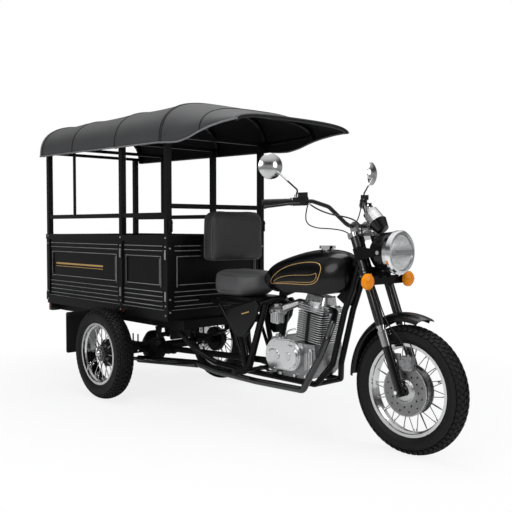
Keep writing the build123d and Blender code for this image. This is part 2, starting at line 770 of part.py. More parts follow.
def cylinder():
    """Air-cooled barrel with square fins."""
    barrel = Pos(0, 0, -foot_h) * Cylinder(bore_r + 16, barrel_h + foot_h, align=BASE)
    for count in range(fin_count):
        barrel += fin(foot_h + count * fin_pitch, fin_half_x, fin_half_y)
    x = st(cylinder_station)
    deck = block(x - 150, x + 150, -150, 150, cylinder_base_z - 60, cylinder_base_z + fit)
    return tilted(barrel) - deck


def cylinder_head():
    """Finned head with a domed rocker cover, the inlet stub behind and the outlet in front."""
    base = barrel_h + fit
    head = Pos(0, 0, base) * Cylinder(bore_r + 22, 62, align=BASE)
    for count in range(3):
        head += fin(base + 4 + count * fin_pitch, fin_half_x + 6, fin_half_y + 2)
    cover = extrude(Pos(0, 0, base + 46) * RectangleRounded(170, 120, 30), amount=46, taper=14)
    head += cover
    start = bore_r + 17
    head += Pos(-start, 0, base + inlet_rise) * Rot(0, -90, 0) * Cylinder(24, inlet_end - start, align=BASE)
    head += Pos(60, outlet_y, base + outlet_rise) * Rot(0, 90, 0) * Cylinder(26, outlet_end - 60, align=BASE)
    return tilted(head)


def carburettor():
    """Carburettor with its float bowl on a bent inlet behind the head."""
    z = barrel_h + fit + inlet_rise
    mouth = -inlet_end - fit
    start = tilted(Location((mouth, 0, z))).position
    bend = tilted(Location((mouth - 34, 0, z))).position
    end = Vector(st(1222), -52, 664)
    neck = tube([tuple(start), tuple(bend), tuple(end)], 22, 20)
    throat = rod((st(1262), -52, 668), (st(1166), -52, 658), 30)
    bowl = Pos(st(1208), -52, 588) * Cylinder(38, 66, align=BASE)
    dome = Pos(st(1208), -52, 664) * Cylinder(24, 30, align=BASE)
    return neck + throat + bowl + dome


# Bodywork on the front frame

def tank_section(x, half, low, waist, top):
    """One section of the tank: flat base, bulged flanks and an arched crown."""
    base = half * 0.80
    shoulder = half * 0.74
    brow = top - (top - waist) * 0.30
    return Plane(origin=(st(x), 0, 0), x_dir=(0, 1, 0), z_dir=(1, 0, 0)) * make_face([
        Line((-base, low), (base, low)),
        ThreePointArc((base, low), (half, waist), (shoulder, brow)),
        ThreePointArc((shoulder, brow), (0, top), (-shoulder, brow)),
        ThreePointArc((-shoulder, brow), (-half, waist), (-base, low))])


def fuel_tank():
    """Teardrop tank; columns: station, half width, base, waist and crown height."""
    table = [(1100, 56, 812, 848, 884), (1190, 104, 786, 862, 946), (1380, 136, 782, 884, 1004),
             (1560, 138, 784, 900, 1030), (1680, 116, 796, 914, 1022), (1732, 78, 826, 924, 1002), (1752, 44, 862, 930, 976)]
    tank = loft([tank_section(*row) for row in table])
    rise = (neck_point[2] - spine_end[2]) / (neck_point[0] - spine_end[0])
    over = spine_r / math.cos(math.atan(rise)) + tunnel_gap
    x0, x1 = spine_end[0] - 120, neck_point[0]
    roof = [(x, spine_end[2] + rise * (x - spine_end[0]) + over) for x in (x0, x1)]
    tunnel = side_plate(roof + [(x1, 700), (x0, 600)], -spine_r - tunnel_gap, spine_r + tunnel_gap)
    pocket = Pos(st(cap_station), 0, cap_seat - fit) * Cylinder(34 + fit, 60, align=BASE)
    return tank - tunnel - pocket


tunnel_gap = 0.6


cap_station = 1558.0
cap_seat = 1026.0
cap_r = 46.0


def fuel_cap():
    cap = Pos(st(cap_station), 0, cap_seat) * (Cylinder(34, 12, align=BASE)
                                               + Pos(0, 0, 8) * Cylinder(cap_r, 16, align=BASE))
    return cap


seat_low = 728.0
seat_h = 157.0


def rider_seat():
    """Upholstered saddle block with rounded top edges."""
    plan = [(700, -120), (740, -156), (960, -150), (1085, -84), (1085, 84), (960, 150), (740, 156), (700, 120)]
    face = make_face(Polyline(*[(st(x), y) for x, y in plan], close=True))
    face = fillet(face.vertices(), 26)
    pad = extrude(Pos(0, 0, seat_low) * face, amount=seat_h)
    top = pad.faces().sort_by(Axis.Z)[-1]
    return fillet(top.edges(), 18)


def backrest():
    """Thick upholstered back cushion ahead of the load box, narrower at its top corners."""
    back = block(st(690), st(810), -230, 230, 926, 1270)
    high = back.edges().filter_by(Axis.X).sort_by(Axis.Z)[2:]
    back = fillet(high, 84)
    low = back.edges().filter_by(Axis.X).sort_by(Axis.Z)[:2]
    back = fillet(low, 34)
    front = back.faces().sort_by(Axis.X)[-1]
    return fillet(front.edges(), 26)


def seat_brackets():
    """Seat pan on the seat rails and the two plates that hold the back cushion to the box."""
    pan = block(st(720), st(1060), -134, 134, seat_rail_z + frame_r + fit, seat_low - fit)
    stays = [block(st(box_front) + fit, st(690) - fit, y, y + 40, 960, 1060) for y in (-150, 110)]
    return [pan] + stays


def side_covers():
    """Moulded covers below the seat, one a side, and the strap plates beside them."""
    outline = [(838, 640), (1128, 722), (1150, 700), (1126, 606), (1036, 493), (968, 484)]
    cover = side_plate([(st(x), z) for x, z in outline], side_cover_y, side_cover_y + 20)
    cover = fillet(cover.edges().filter_by(Axis.Y), 12)
    outer = cover.faces().sort_by(Axis.Y)[-1]
    return both_sides(chamfer(outer.edges(), 5))


side_cover_y = 142.2


def exhaust():
    """Header from the head's front, down round the engine's right side to a slim silencer."""
    mouth = [tilted(Location((outlet_end + run, outlet_y, barrel_h + fit + outlet_rise))).position
             for run in (fit, 34)]
    pipe = tube([tuple(mouth[0]), tuple(mouth[1]), (st(1690), -104, 632), (st(1704), -160, 560),
                 (st(1668), -182, 452), (st(1556), -194, 262), (st(1180), -198, 254),
                 (st(820), -204, 262), (st(640), -210, 284)], header_r, 30)
    silencer = rod((st(644), -210, 284), (st(0), -226, 232), silencer_r)
    tail = rod((st(0), -226, 232), (st(-60), -228, 227), header_r - 6)
    return pipe + silencer + tail


header_r = 19.0
silencer_r = 25.0


def foot_controls():
    """Foot rest bar with its rests, the brake pedal, the gear lever and the kick starter."""
    z = cradle_z + frame_r + 11 + fit
    bar = across(11, -300, 300, st(1118), z)
    for side in (-1, 1):
        y0, y1 = sorted((side * 226, side * 318))
        bar += across(18, y0, y1, st(1118), z)
    pedal = tube([(st(1118), -150, z), (st(1180), -158, z + 26), (st(1290), -166, z + 6)], 7, 24)
    pedal += block(st(1262), st(1316), -196, -152, z + 2, z + 14)
    lever = tube([(st(1118), 152, z), (st(1190), 160, z + 18), (st(1282), 166, z + 10)], 6, 24)
    lever += across(9, 150, 196, st(1282), z + 10)
    return bar + pedal + lever


# Load box

def ribbed_wall(length, height):
    """Pressed wall lying in x and z: a skin with raised ribs and one framed field, outside at y=0."""
    wall = block(0, length, wall_t - skin_t, wall_t, 0, height)
    rib = wall_t - skin_t
    # Rows: lower edge, upper edge as shares of the height, inset from the ends, share of the depth
    bands = [(0.0, 0.125, 0, 1.0), (0.150, 0.172, rib_inset, 0.7), (0.206, 0.228, rib_inset, 0.7),
             (0.262, 0.284, rib_inset, 0.7), (0.318, 0.340, rib_inset, 0.7), (0.800, 0.822, rib_inset, 0.7),
             (0.856, 0.878, rib_inset, 0.7), (0.925, 1.0, 0, 1.0)]
    for low, high, inset, depth in bands:
        bead = block(inset, length - inset, rib * (1 - depth), rib, low * height, high * height)
        if inset:
            outer = bead.faces().sort_by(Axis.Y)[0]
            bead = chamfer(outer.edges(), rib * depth * 0.45)
        wall += bead
    field_low, field_high = 0.39 * height, 0.755 * height
    field_inset = rib_inset * 2
    frame = block(field_inset, length - field_inset, rib * 0.4, rib, field_low, field_high)
    outer = frame.faces().sort_by(Axis.Y)[0]
    frame = chamfer(outer.edges(), rib * 0.3)
    edge = 13.0
    frame -= block(field_inset + edge, length - field_inset - edge, 0, rib, field_low + edge, field_high - edge)
    return wall + frame


rib_inset = 20.0


def side_panels():
    """Right side: a long rear panel and a short front panel with the middle post between."""
    height = box_high - box_low
    rear = -rear_overhang + 2 * knuckle_r + gate_t + post_w
    spans = [(rear + fit, mid_post - post_w / 2 - fit), (mid_post + post_w / 2 + fit, box_front - post_w - fit)]
    return [Pos(st(a), -box_half, box_low) * ribbed_wall(b - a, height) for a, b in spans]


def front_panel():
    """Ribbed wall behind the rider, between the front posts."""
    half = box_half - post_w - fit
    wall = ribbed_wall(2 * half, box_high - box_low)
    return Pos(st(box_front), -half, box_low) * Rot(0, 0, 90) * wall


def tailgate():
    """Ribbed gate across the tail with hinge knuckles at its foot."""
    half = box_half - 4
    wall = ribbed_wall(2 * half, box_high - box_low - 26)
    x = st(-rear_overhang + 2 * knuckle_r)
    gate = Pos(x - 2 - run_gap, half, box_low + 24) * Rot(0, 0, -90) * wall
    for y in knuckle_places:
        gate += across(knuckle_r, y - 22, y + 22, st(-rear_overhang + knuckle_r), gate_axis_z)
        gate += block(st(-rear_overhang + knuckle_r), x + 8, y - 22, y + 22, gate_axis_z, gate_axis_z + 24)
    for y in knuckle_places:
        gate -= across(3 + run_gap, y - 23, y + 23, st(-rear_overhang + knuckle_r), gate_axis_z)
    return gate


gate_axis_z = 575.0
knuckle_places = (110.0 - box_half, 0.0, box_half - 110.0)


def cargo_floor():
    """Load floor with its tail cross bar, hinge pins and shallow bottom stiffeners."""
    half = box_half - post_w - fit
    tail = -rear_overhang + 2 * knuckle_r + gate_t + 2
    floor = block(st(tail), st(box_front - wall_t - fit), -half, half, box_low, box_low + floor_t)
    hinge_x = st(-rear_overhang + knuckle_r)
    for y in knuckle_places:
        for side in (-1, 1):
            y0, y1 = sorted((y + side * 23, y + side * 35))
            floor += across(knuckle_r, y0, y1, hinge_x, gate_axis_z)
            floor += block(hinge_x, st(tail) + 4, y0, y1, gate_axis_z - 8, gate_axis_z + 8)
        floor += across(3, y - 24, y + 24, hinge_x, gate_axis_z)
    return floor


def canopy_posts():
    """Six square posts from the floor level to the roof bows, and two light uprights on the side rails."""
    posts = []
    for side in (-1, 1):
        y0, y1 = sorted((side * (box_half - post_w), side * box_half))
        for x in (post_rear, mid_post - post_w / 2, box_front - post_w):
            posts.append(block(st(x), st(x + post_w), y0, y1, box_low, post_top))
        y0, y1 = sorted((side * (box_half - 10), side * (box_half - 26)))
        posts.append(block(st(light_post - 8), st(light_post + 8), y0, y1, rail_z + rail_w / 2 + fit, post_top))
    return posts


light_post = -586.0


post_rear = -rear_overhang + 2 * knuckle_r + gate_t


def canopy_rails():
    """Side guard rails between the posts and the cross rail behind the rider."""
    rails = []
    low, high = rail_z - rail_w / 2, rail_z + rail_w / 2
    for side in (-1, 1):
        y0, y1 = sorted((side * (box_half - 3 - rail_w), side * (box_half - 3)))
        for a, b in ((post_rear + post_w, mid_post - post_w / 2), (mid_post + post_w / 2, box_front - post_w)):
            rails.append(block(st(a), st(b), y0, y1, low, high))
    half = box_half - post_w
    rails.append(block(st(box_front - post_w + 3), st(box_front - 3), -half, half,
                       front_rail_z - rail_w / 2, front_rail_z + rail_w / 2))
    return rails


def roof_edge(station):
    """Height of the roof's side edge over the load box, falling gently to the front."""
    return canopy_edge_z - canopy_edge_fall * (station - canopy_rear) / (box_front - canopy_rear)


def canopy_outline(half, edge_z, crown_z, count=8):
    """Half of a roof section from edge to crown by a flattened curve, as y and z."""
    points = []
    for k in range(count):
        turn = math.radians(90.0 * k / (count - 1))
        y = half * math.cos(turn) ** 0.62
        z = edge_z + (crown_z - edge_z) * math.sin(turn) ** 0.80
        points.append((y, z))
    return points


def roof_section(x, half, edge_z, crown_z, thick):
    """Closed strip of roof of even thickness at one station."""
    outer = canopy_outline(half, edge_z, crown_z)
    inner = canopy_outline(half - thick, edge_z, crown_z - thick)
    loop = outer + [(-y, z) for y, z in reversed(outer[:-1])]
    back = inner + [(-y, z) for y, z in reversed(inner[:-1])]
    plane = Plane(origin=(st(x), 0, 0), x_dir=(0, 1, 0), z_dir=(1, 0, 0))
    return plane * make_face(Polyline(*loop, *reversed(back), close=True))


def canopy_cover():
    """Roof skin; columns: station, edge height and crown height."""
    table = [(canopy_rear, canopy_edge_z, canopy_crown_z), (box_front, roof_edge(box_front), canopy_crown_z),
             (690, 1659, 1934), (790, 1656, 1913), (895, 1674, 1888), (986, 1700, 1864), (1080, 1718, 1840),
             (1190, 1732, 1814), (canopy_front, 1738, 1784)]
    return loft([roof_section(x, canopy_half, edge, crown, canopy_t) for x, edge, crown in table], ruled=True)


def canopy_bows():
    """Roof bows under the skin at the posts, and one over the rider on two side rods."""
    bows = []
    low = post_top + fit
    half = canopy_half - canopy_t - fit
    places = [(post_rear + post_w / 2, canopy_crown_z), (light_post, canopy_crown_z), (mid_post, canopy_crown_z),
              (box_front - post_w / 2, canopy_crown_z), (visor_bow, visor_crown)]
    for x, crown in places:
        plane = Plane(origin=(st(x - bow_t / 2), 0, 0), x_dir=(0, 1, 0), z_dir=(1, 0, 0))
        over_box = x < box_front
        edge = roof_edge(x) if over_box else visor_edge
        reach = half if over_box else half - 4
        outer = canopy_outline(reach, edge, crown - canopy_t - 1)
        inner = canopy_outline(reach - bow_t, edge, crown - canopy_t - bow_t)
        loop = outer + [(-y, z) for y, z in reversed(outer[:-1])]
        back = inner + [(-y, z) for y, z in reversed(inner[:-1])]
        bow = extrude(plane * make_face(Polyline(*loop, *reversed(back), close=True)), amount=bow_t)
        if over_box:
            bow += block(st(x - bow_t / 2), st(x + bow_t / 2), -half + 8, half - 8, low, low + bow_t)
        bows.append(bow)
    front = bows[-2] + bows[-1]
    for side in (-1, 1):
        y = side * (half - bow_t / 2 - 8)
        front += rod((st(box_front - post_w / 2), y, post_top + 10), (st(visor_bow), y, visor_edge + 26), 7)
    return bows[:-2] + [front]


visor_edge = 1711.0
visor_crown = 1846.0


def mud_flaps():
    """Rubber flaps behind the rear wheels, hung from bars under the floor."""
    flap = block(st(-404), st(-398), 330, 570, 262, 552)
    flap = fillet(flap.edges().filter_by(Axis.X), 14)
    bar = block(st(-398), st(-378), rail_y + rail_section_w / 2, 566, 524, 552)
    return both_sides(flap + bar)


def tail_lamps():
    """Rectangular lamps under the tail of the floor."""
    lamp = block(st(-rear_overhang + 40), st(-rear_overhang + 74), 318, 398, 505, box_low - fit)
    lamp = fillet(lamp.edges().filter_by(Axis.X), 10)
    return both_sides(lamp)


def side_reflectors():
    """Round reflectors in a raised ring on the front part of the box sides."""
    place = st(mid_post + 46)
    disc = across(15, box_half, box_half + 8, place, 598) + ring(15, 11, box_half + 8, box_half + 11).moved(
        Location((place, 0, 598)))
    return both_sides(disc)


def control_cables():
    """Throttle and clutch cables, each from its lever to the head."""
    start = bar_frame(0.07) * Location((24, 14, 0))
    first = start.position
    points = [tuple(first), (first.X + 40, first.Y - 50, first.Z - 50), fork_point(70, 84, 900),
              fork_point(14, 52, 790), fork_point(-6, 42, 720),
              fork_point(-8, 42, lower_yoke_s + lower_yoke_t / 2 + fit)]
    return both_sides(tube(points, 4, 18))


os.makedirs("parts", exist_ok=True)

front_place = Pos(front_axle_x, 0, front_tyre_r)
save("front_tyre", front_place * tyre(front_tyre_r, front_tyre_w, front_rim_r, front_rim_w))
save("front_wheel", front_place * front_wheel())
save("brake_disc", front_place * brake_disc())
rear_place = Pos(rear_axle_x, track / 2, rear_tyre_r)
left_tyre = rear_place * tyre(rear_tyre_r, rear_tyre_w, rear_rim_r, rear_rim_w)
left_wheel = rear_place * rear_wheel()
save("rear_tyre_left", left_tyre)
save("rear_tyre_right", mirror(left_tyre, about=Plane.XZ))
save("rear_wheel_left", left_wheel)
save("rear_wheel_right", mirror(left_wheel, about=Plane.XZ))

save("fork_legs", fork_legs())
save("fork_yokes", fork_yokes())
save("handlebar", handlebar())
save("grips", *grips())
save("switch_pods", *switch_pods())
save("control_levers", *control_levers())
save("mirrors", *mirrors())
save("headlamp_shell", headlamp_shell())
save("headlamp_rim", headlamp_rim())
save("headlamp_lens", headlamp_lens())
save("lamp_brackets", *lamp_brackets())
save("indicators", *indicators())
save("speedometer", speedometer())
save("front_fender", front_fender())
save("brake_caliper", brake_caliper())
save("control_cables", *control_cables())

save("main_frame", main_frame())
save("rear_chassis", rear_chassis())
save("leaf_springs", *leaf_springs())
save("rear_axle", rear_axle())
save("prop_shaft", prop_shaft())
save("crankcase", crankcase())
save("engine_covers", *engine_covers())
save("cylinder", cylinder())
save("cylinder_head", cylinder_head())
save("carburettor", carburettor())
save("exhaust", exhaust())
save("foot_controls", foot_controls())
save("fuel_tank", fuel_tank())
save("fuel_cap", fuel_cap())
save("rider_seat", rider_seat())
save("backrest", backrest())
save("seat_brackets", *seat_brackets())
save("side_covers", *side_covers())

right_panels = side_panels()
save("side_panels", *right_panels, *[mirror(panel, about=Plane.XZ) for panel in right_panels])
save("front_panel", front_panel())
save("tailgate", tailgate())
save("cargo_floor", cargo_floor())
save("canopy_posts", *canopy_posts())
save("canopy_rails", *canopy_rails())
save("canopy_bows", *canopy_bows())
save("canopy_cover", canopy_cover())
save("mud_flaps", *mud_flaps())
save("tail_lamps", *tail_lamps())
save("side_reflectors", *side_reflectors())
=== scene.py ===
import math

import bmesh
import bpy
from mathutils import Matrix, Vector
from mathutils.bvhtree import BVHTree


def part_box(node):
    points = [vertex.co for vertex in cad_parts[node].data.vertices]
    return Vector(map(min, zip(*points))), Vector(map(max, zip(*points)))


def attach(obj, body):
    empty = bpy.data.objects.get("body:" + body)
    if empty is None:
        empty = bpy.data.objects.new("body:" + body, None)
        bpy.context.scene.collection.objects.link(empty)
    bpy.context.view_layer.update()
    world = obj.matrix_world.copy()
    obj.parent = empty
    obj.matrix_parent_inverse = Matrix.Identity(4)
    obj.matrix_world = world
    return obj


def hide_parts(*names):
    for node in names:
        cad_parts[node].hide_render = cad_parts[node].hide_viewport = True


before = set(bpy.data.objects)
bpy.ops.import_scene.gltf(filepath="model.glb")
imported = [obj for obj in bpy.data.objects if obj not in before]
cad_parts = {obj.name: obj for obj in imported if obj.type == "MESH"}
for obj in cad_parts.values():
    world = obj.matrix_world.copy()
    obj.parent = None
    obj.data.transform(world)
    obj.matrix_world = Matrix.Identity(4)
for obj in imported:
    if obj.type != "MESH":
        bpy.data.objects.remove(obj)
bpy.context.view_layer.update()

# Studio
# A pale floor and a white surround, lit by broad soft lamps: one over the roof, one from the
# vehicle's right and a weaker one from ahead. The camera stands ahead of the right front wheel.
camera_place = (3.6325, -3.0941, 1.1578)
camera_turn = math.radians(47.507)
camera_dip = math.radians(2.295)
camera_lens = 51.96


def linked(name, data):
    """New object in the scene, at the origin."""
    made = bpy.data.objects.new(name, data)
    bpy.context.scene.collection.objects.link(made)
    return made


camera = linked("camera", bpy.data.cameras.new("camera"))
camera.data.lens = camera_lens
camera.data.sensor_width = 36.0
camera.location = camera_place
camera.rotation_euler = (math.pi / 2 - camera_dip, 0.0, camera_turn)
bpy.context.scene.camera = camera
bpy.context.scene.view_settings.view_transform = "Standard"

# Soft oval lamps: place, the point that each looks at, size and power
for name, place, aim, size, power in (
        ("lamp_top", (0.3, 0.0, 4.6), (0.1, 0.0, 0.0), (4.0, 2.6), 120.0),
        ("lamp_right", (1.6, -4.6, 2.8), (0.2, 0.0, 0.8), (3.6, 2.4), 105.0),
        ("lamp_front", (5.2, 1.4, 2.4), (0.6, 0.0, 0.8), (2.0, 2.6), 50.0)):
    lamp = linked(name, bpy.data.lights.new(name, "AREA"))
    lamp.data.shape = "ELLIPSE"
    lamp.data.size, lamp.data.size_y = size
    lamp.data.energy = power
    lamp.location = place
    lamp.rotation_euler = (Vector(aim) - Vector(place)).to_track_quat("-Z", "Y").to_euler()


def feed(tree, made, inputs):
    """Set a shader node's inputs, each to a value or to another node's output."""
    for slot, value in inputs.items():
        if isinstance(value, bpy.types.NodeSocket):
            tree.links.new(value, made.inputs[slot])
        else:
            made.inputs[slot].default_value = value


def wired(tree, kind, inputs=None, **traits):
    """New shader node with its traits and inputs."""
    made = tree.nodes.new("ShaderNode" + kind)
    for trait, value in traits.items():
        setattr(made, trait, value)
    feed(tree, made, inputs or {})
    return made


def worked(tree, operation, *values):
    """Output of a math node on other outputs and plain numbers."""
    return wired(tree, "Math", dict(enumerate(values)), operation=operation).outputs[0]


white = (1.0, 1.0, 1.0, 1.0)
world = bpy.data.worlds.new("studio")
bpy.context.scene.world = world
world.use_nodes = True
tree = world.node_tree
tree.nodes.clear()
seen = wired(tree, "Background", {"Color": white})
fill = wired(tree, "Background", {"Color": (0.95, 0.97, 1.0, 1.0), "Strength": 0.30})
path = wired(tree, "LightPath").outputs
either = worked(tree, "MAXIMUM", path["Is Camera Ray"], path["Is Transmission Ray"])
# What gloss and metal mirror: a bright ceiling over a dark band, and pale walls
split = wired(tree, "SeparateXYZ", {0: wired(tree, "TexCoord").outputs["Generated"]})
level = worked(tree, "MULTIPLY_ADD", split.outputs["Z"], 0.5, 0.5)
shades = wired(tree, "ValToRGB", {"Fac": level})
bands = shades.color_ramp.elements
bands[0].position, bands[1].position = 0.54, 0.95
bands[0].color, bands[1].color = (0.42, 0.42, 0.42, 1.0), white
for place, grey in ((0.62, 0.07), (0.70, 0.08), (0.82, 0.75)):
    bands.new(place).color = (grey, grey, grey, 1.0)
mirror_sky = wired(tree, "Background", {"Color": shades.outputs["Color"]})
lit = wired(tree, "MixShader", {0: path["Is Glossy Ray"], 1: fill.outputs[0], 2: mirror_sky.outputs[0]})
surround = wired(tree, "MixShader", {0: either, 1: lit.outputs[0], 2: seen.outputs[0]})
wired(tree, "OutputWorld", {"Surface": surround.outputs[0]})

floor_look = bpy.data.materials.new("studio_floor")
floor_look.use_nodes = True
tree = floor_look.node_tree
tree.nodes.clear()
matt = wired(tree, "BsdfDiffuse", {"Color": (0.97, 0.97, 0.97, 1.0)})
glow = wired(tree, "Emission", {"Color": white})
far = wired(tree, "VectorMath", {0: wired(tree, "TexCoord").outputs["Object"]}, operation="LENGTH")
fade = wired(tree, "MapRange", {"Value": far.outputs["Value"], "From Min": 1.2, "From Max": 3.0,
                                "To Min": 0.82})
shown = worked(tree, "MULTIPLY", fade.outputs["Result"], wired(tree, "LightPath").outputs["Is Camera Ray"])
mixed = wired(tree, "MixShader", {0: shown, 1: matt.outputs[0], 2: glow.outputs[0]})
wired(tree, "OutputMaterial", {"Surface": mixed.outputs[0]})
floor_mesh = bpy.data.meshes.new("studio_floor")
sheet = bmesh.new()
bmesh.ops.create_grid(sheet, x_segments=1, y_segments=1, size=14.0)
sheet.to_mesh(floor_mesh)
sheet.free()
floor_mesh.materials.append(floor_look)
linked("studio_floor", floor_mesh)


# Chassis and frame
# Welded steel tube and box section in satin black paint: the paint's tone and gloss vary a
# little and its surface has a fine orange peel, so that long tubes don't look drawn.
def surface(name, colour, rough, metal=0.0, grain=90.0, tone=0.25, relief=0.02, spread=0.08,
            specular=0.25, coat=0.0, sheen=0.0):
    """Finish in a colour or grey, whose tone, gloss and height follow a fine noise in the piece's space."""
    colour = colour if isinstance(colour, tuple) else (colour, colour, colour)
    look = bpy.data.materials.new(name)
    look.use_nodes = True
    tree = look.node_tree
    place = wired(tree, "TexCoord", name="place").outputs["Object"]
    fine = wired(tree, "TexNoise", {"Vector": place, "Scale": grain, "Detail": 6.0}).outputs["Fac"]
    broad = wired(tree, "TexNoise", {"Vector": place, "Scale": 5.0, "Detail": 3.0}).outputs["Fac"]
    both = worked(tree, "MULTIPLY_ADD", fine, 0.5, worked(tree, "MULTIPLY", broad, 0.5))
    hue = wired(tree, "ValToRGB", {"Fac": both})
    for stop, position, share in zip(hue.color_ramp.elements, (0.3, 0.7), (1 - tone, 1 + tone)):
        stop.position = position
        stop.color = [min(1.0, part * share) for part in colour] + [1.0]
    gloss = wired(tree, "MapRange", {"Value": both, "From Min": 0.3, "From Max": 0.7,
                                     "To Min": max(0.02, rough - spread), "To Max": rough + spread},
                  name="gloss")
    raised = wired(tree, "Bump", {"Height": fine, "Strength": relief * 10, "Distance": 0.001})
    feed(tree, tree.nodes["Principled BSDF"], {
        "Base Color": hue.outputs["Color"], "Roughness": gloss.outputs["Result"],
        "Normal": raised.outputs["Normal"], "Metallic": metal, "Specular IOR Level": specular,
        "Coat Weight": coat, "Coat Roughness": 0.06, "Sheen Weight": sheen})
    return look


def dress(look, *nodes):
    """Give frame nodes their finish."""
    for node in nodes:
        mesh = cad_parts[node].data
        mesh.materials.clear()
        mesh.materials.append(look)


frame_paint = surface("frame_paint", (0.004, 0.004, 0.0045), 0.26, grain=160.0, relief=0.012, specular=0.14)
under_paint = surface("under_paint", 0.005, 0.5, grain=70.0, relief=0.03, specular=0.12)
dress(frame_paint, "main_frame", "foot_controls", "seat_brackets", "lamp_brackets")
dress(under_paint, "rear_chassis", "leaf_springs", "rear_axle", "prop_shaft")


# Tyres
# Black rubber with a ribbed side wall and rows of moulded lugs round the crown, fitted on the
# rims. The casing is turned from one closed section and the lugs repeat round the axle.
rubber = surface("tyre_rubber", 0.006, 0.55, grain=420.0, tone=0.35, relief=0.05, specular=0.2)


def middle_of(node):
    """Middle of a frame node's box."""
    low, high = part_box(node)
    return (low + high) / 2


front_hub = middle_of("front_tyre")
rear_hubs = {side: middle_of(f"rear_tyre_{side}") for side in ("left", "right")}
# Outer radius and width of the tyre, then radius and width of its rim
front_size = (0.330, 0.098, 0.2385, 0.066)
rear_size = (0.305, 0.125, 0.207, 0.102)
rim_wall = 0.0035
rim_flange = 0.012
crown_share = 0.4
side_share = 0.7
# Rows of lugs: inner and outer share of the outer curve, lag round the wheel in pitches, depth
front_rows = [(-0.055, 0.055, 0.0, 0.007), (0.085, 0.205, 0.32, 0.007), (0.235, 0.385, 0.62, 0.007),
              (0.415, 0.56, 0.12, 0.005)]
rear_rows = [(-0.05, 0.05, 0.0, 0.008), (0.075, 0.175, 0.45, 0.008), (0.20, 0.30, 0.05, 0.008),
             (0.325, 0.425, 0.55, 0.008), (0.45, 0.60, 0.15, 0.006)]


def coated(mesh, look):
    """Give a mesh one finish and smooth shading."""
    mesh.polygons.foreach_set("use_smooth", [True] * len(mesh.polygons))
    mesh.materials.clear()
    mesh.materials.append(look)


def finished(name, shape, look, body, crease=35.0):
    """Turn a bmesh into a piece with one finish that rides on a body and takes a material slot."""
    mesh = bpy.data.meshes.new(name)
    shape.to_mesh(mesh)
    shape.free()
    coated(mesh, look)
    mesh.set_sharp_from_angle(angle=math.radians(crease))
    made = linked(name, mesh)
    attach(made, body)
    return made


def tyre_curve(size, share, sink=0.0):
    """Place (across, out) on a tyre's outer curve: share is 0 at the crown and 1 at the bead."""
    radius, width, rim_r, rim_w = size
    tread, shoulder_r = width * 0.37, radius - width * 0.09
    side_r = rim_r + (radius - rim_r) * 0.5
    if share <= crown_share:
        part = share / crown_share
        return tread * part, radius - (radius - shoulder_r) * part ** 2 - sink
    upper = share <= side_share
    end = (tread, shoulder_r) if upper else (rim_w / 2 - rim_wall, rim_r)
    run, rise = width / 2 - end[0], end[1] - side_r
    bow = (run ** 2 + rise ** 2) / (2 * run)
    turn = math.asin(rise / bow)
    turn *= ((side_share - share) / (side_share - crown_share) if upper
             else (share - side_share) / (1 - side_share))
    return width / 2 - bow + (bow - sink) * math.cos(turn), side_r + (bow - sink) * math.sin(turn)


def tyre(name, size, hub, rows, pitches, node, body):
    """Casing and lugs of one tyre, standing for its frame node."""
    shape = bmesh.new()
    lugs = []
    pitch = 2 * math.pi / pitches
    for row, (low, high, lag, depth) in enumerate(rows):
        for side in (1, -1) if row else (1,):
            lug = bmesh.ops.create_cube(shape, size=1.0)["verts"]
            for corner in lug:
                top = corner.co.z > 0
                draw = 0.86 if top else 1.0
                share = (low + high) / 2 + (high - low) * corner.co.x * draw
                across, out = tyre_curve(size, abs(share), 0.0 if top else depth + 0.002)
                across = math.copysign(across, share) * side
                turn = pitch * (corner.co.y * 0.66 * draw + lag + (0.5 if side < 0 else 0.0) + share * 0.9)
                corner.co = hub + Vector((out * math.cos(turn), across, out * math.sin(turn)))
            lugs += lug
    bmesh.ops.recalc_face_normals(shape, faces=shape.faces[:])
    whole = lugs + shape.edges[:] + shape.faces[:]
    bmesh.ops.spin(shape, geom=whole, cent=hub, axis=(0, 1, 0), angle=pitch * (pitches - 1),
                   steps=pitches - 1, use_duplicate=True)
    wall = size[3] / 2 - rim_wall
    bead = size[2] - rim_flange
    rib = [0.0, 0.09, 0.17, 0.25, 0.33, 0.4, 0.44, 0.50, 0.56, 0.60, 0.603, 0.64, 0.643, 0.70, 0.76,
           0.80, 0.803, 0.83, 0.833, 0.90, 0.95, 1.0]
    groove = {0.603: -0.0008, 0.64: -0.0008, 0.803: -0.001, 0.83: -0.001}
    half = [tyre_curve(size, share, groove.get(share, 0.0) + (rows[0][3] if share < 0.58 else 0.001))
            for share in rib]
    inner = [(wall, bead), (wall - 0.011, bead), (size[1] / 2 - 0.011, size[2] + 0.045),
             (0.0, size[0] - 0.018)]
    right = half + inner
    loop = right + [(-across, out) for across, out in reversed(right[1:-1])]
    section = [shape.verts.new(hub + Vector((out, across, 0.0))) for across, out in loop]
    edges = [shape.edges.new((a, b)) for a, b in zip(section, section[1:] + section[:1])]
    bmesh.ops.spin(shape, geom=section + edges, cent=hub, axis=(0, 1, 0), angle=2 * math.pi, steps=96,
                   use_merge=True)
    bmesh.ops.recalc_face_normals(shape, faces=shape.faces[:])
    made = finished(name, shape, rubber, body, crease=28.0)
    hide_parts(node)


tyre("front_road_tyre", front_size, front_hub, front_rows, 60, "front_tyre", "front_wheel_set")
for side, hub in rear_hubs.items():
    tyre(f"rear_road_tyre_{side}", rear_size, hub, rear_rows, 54, f"rear_tyre_{side}", f"{side}_wheel_set")


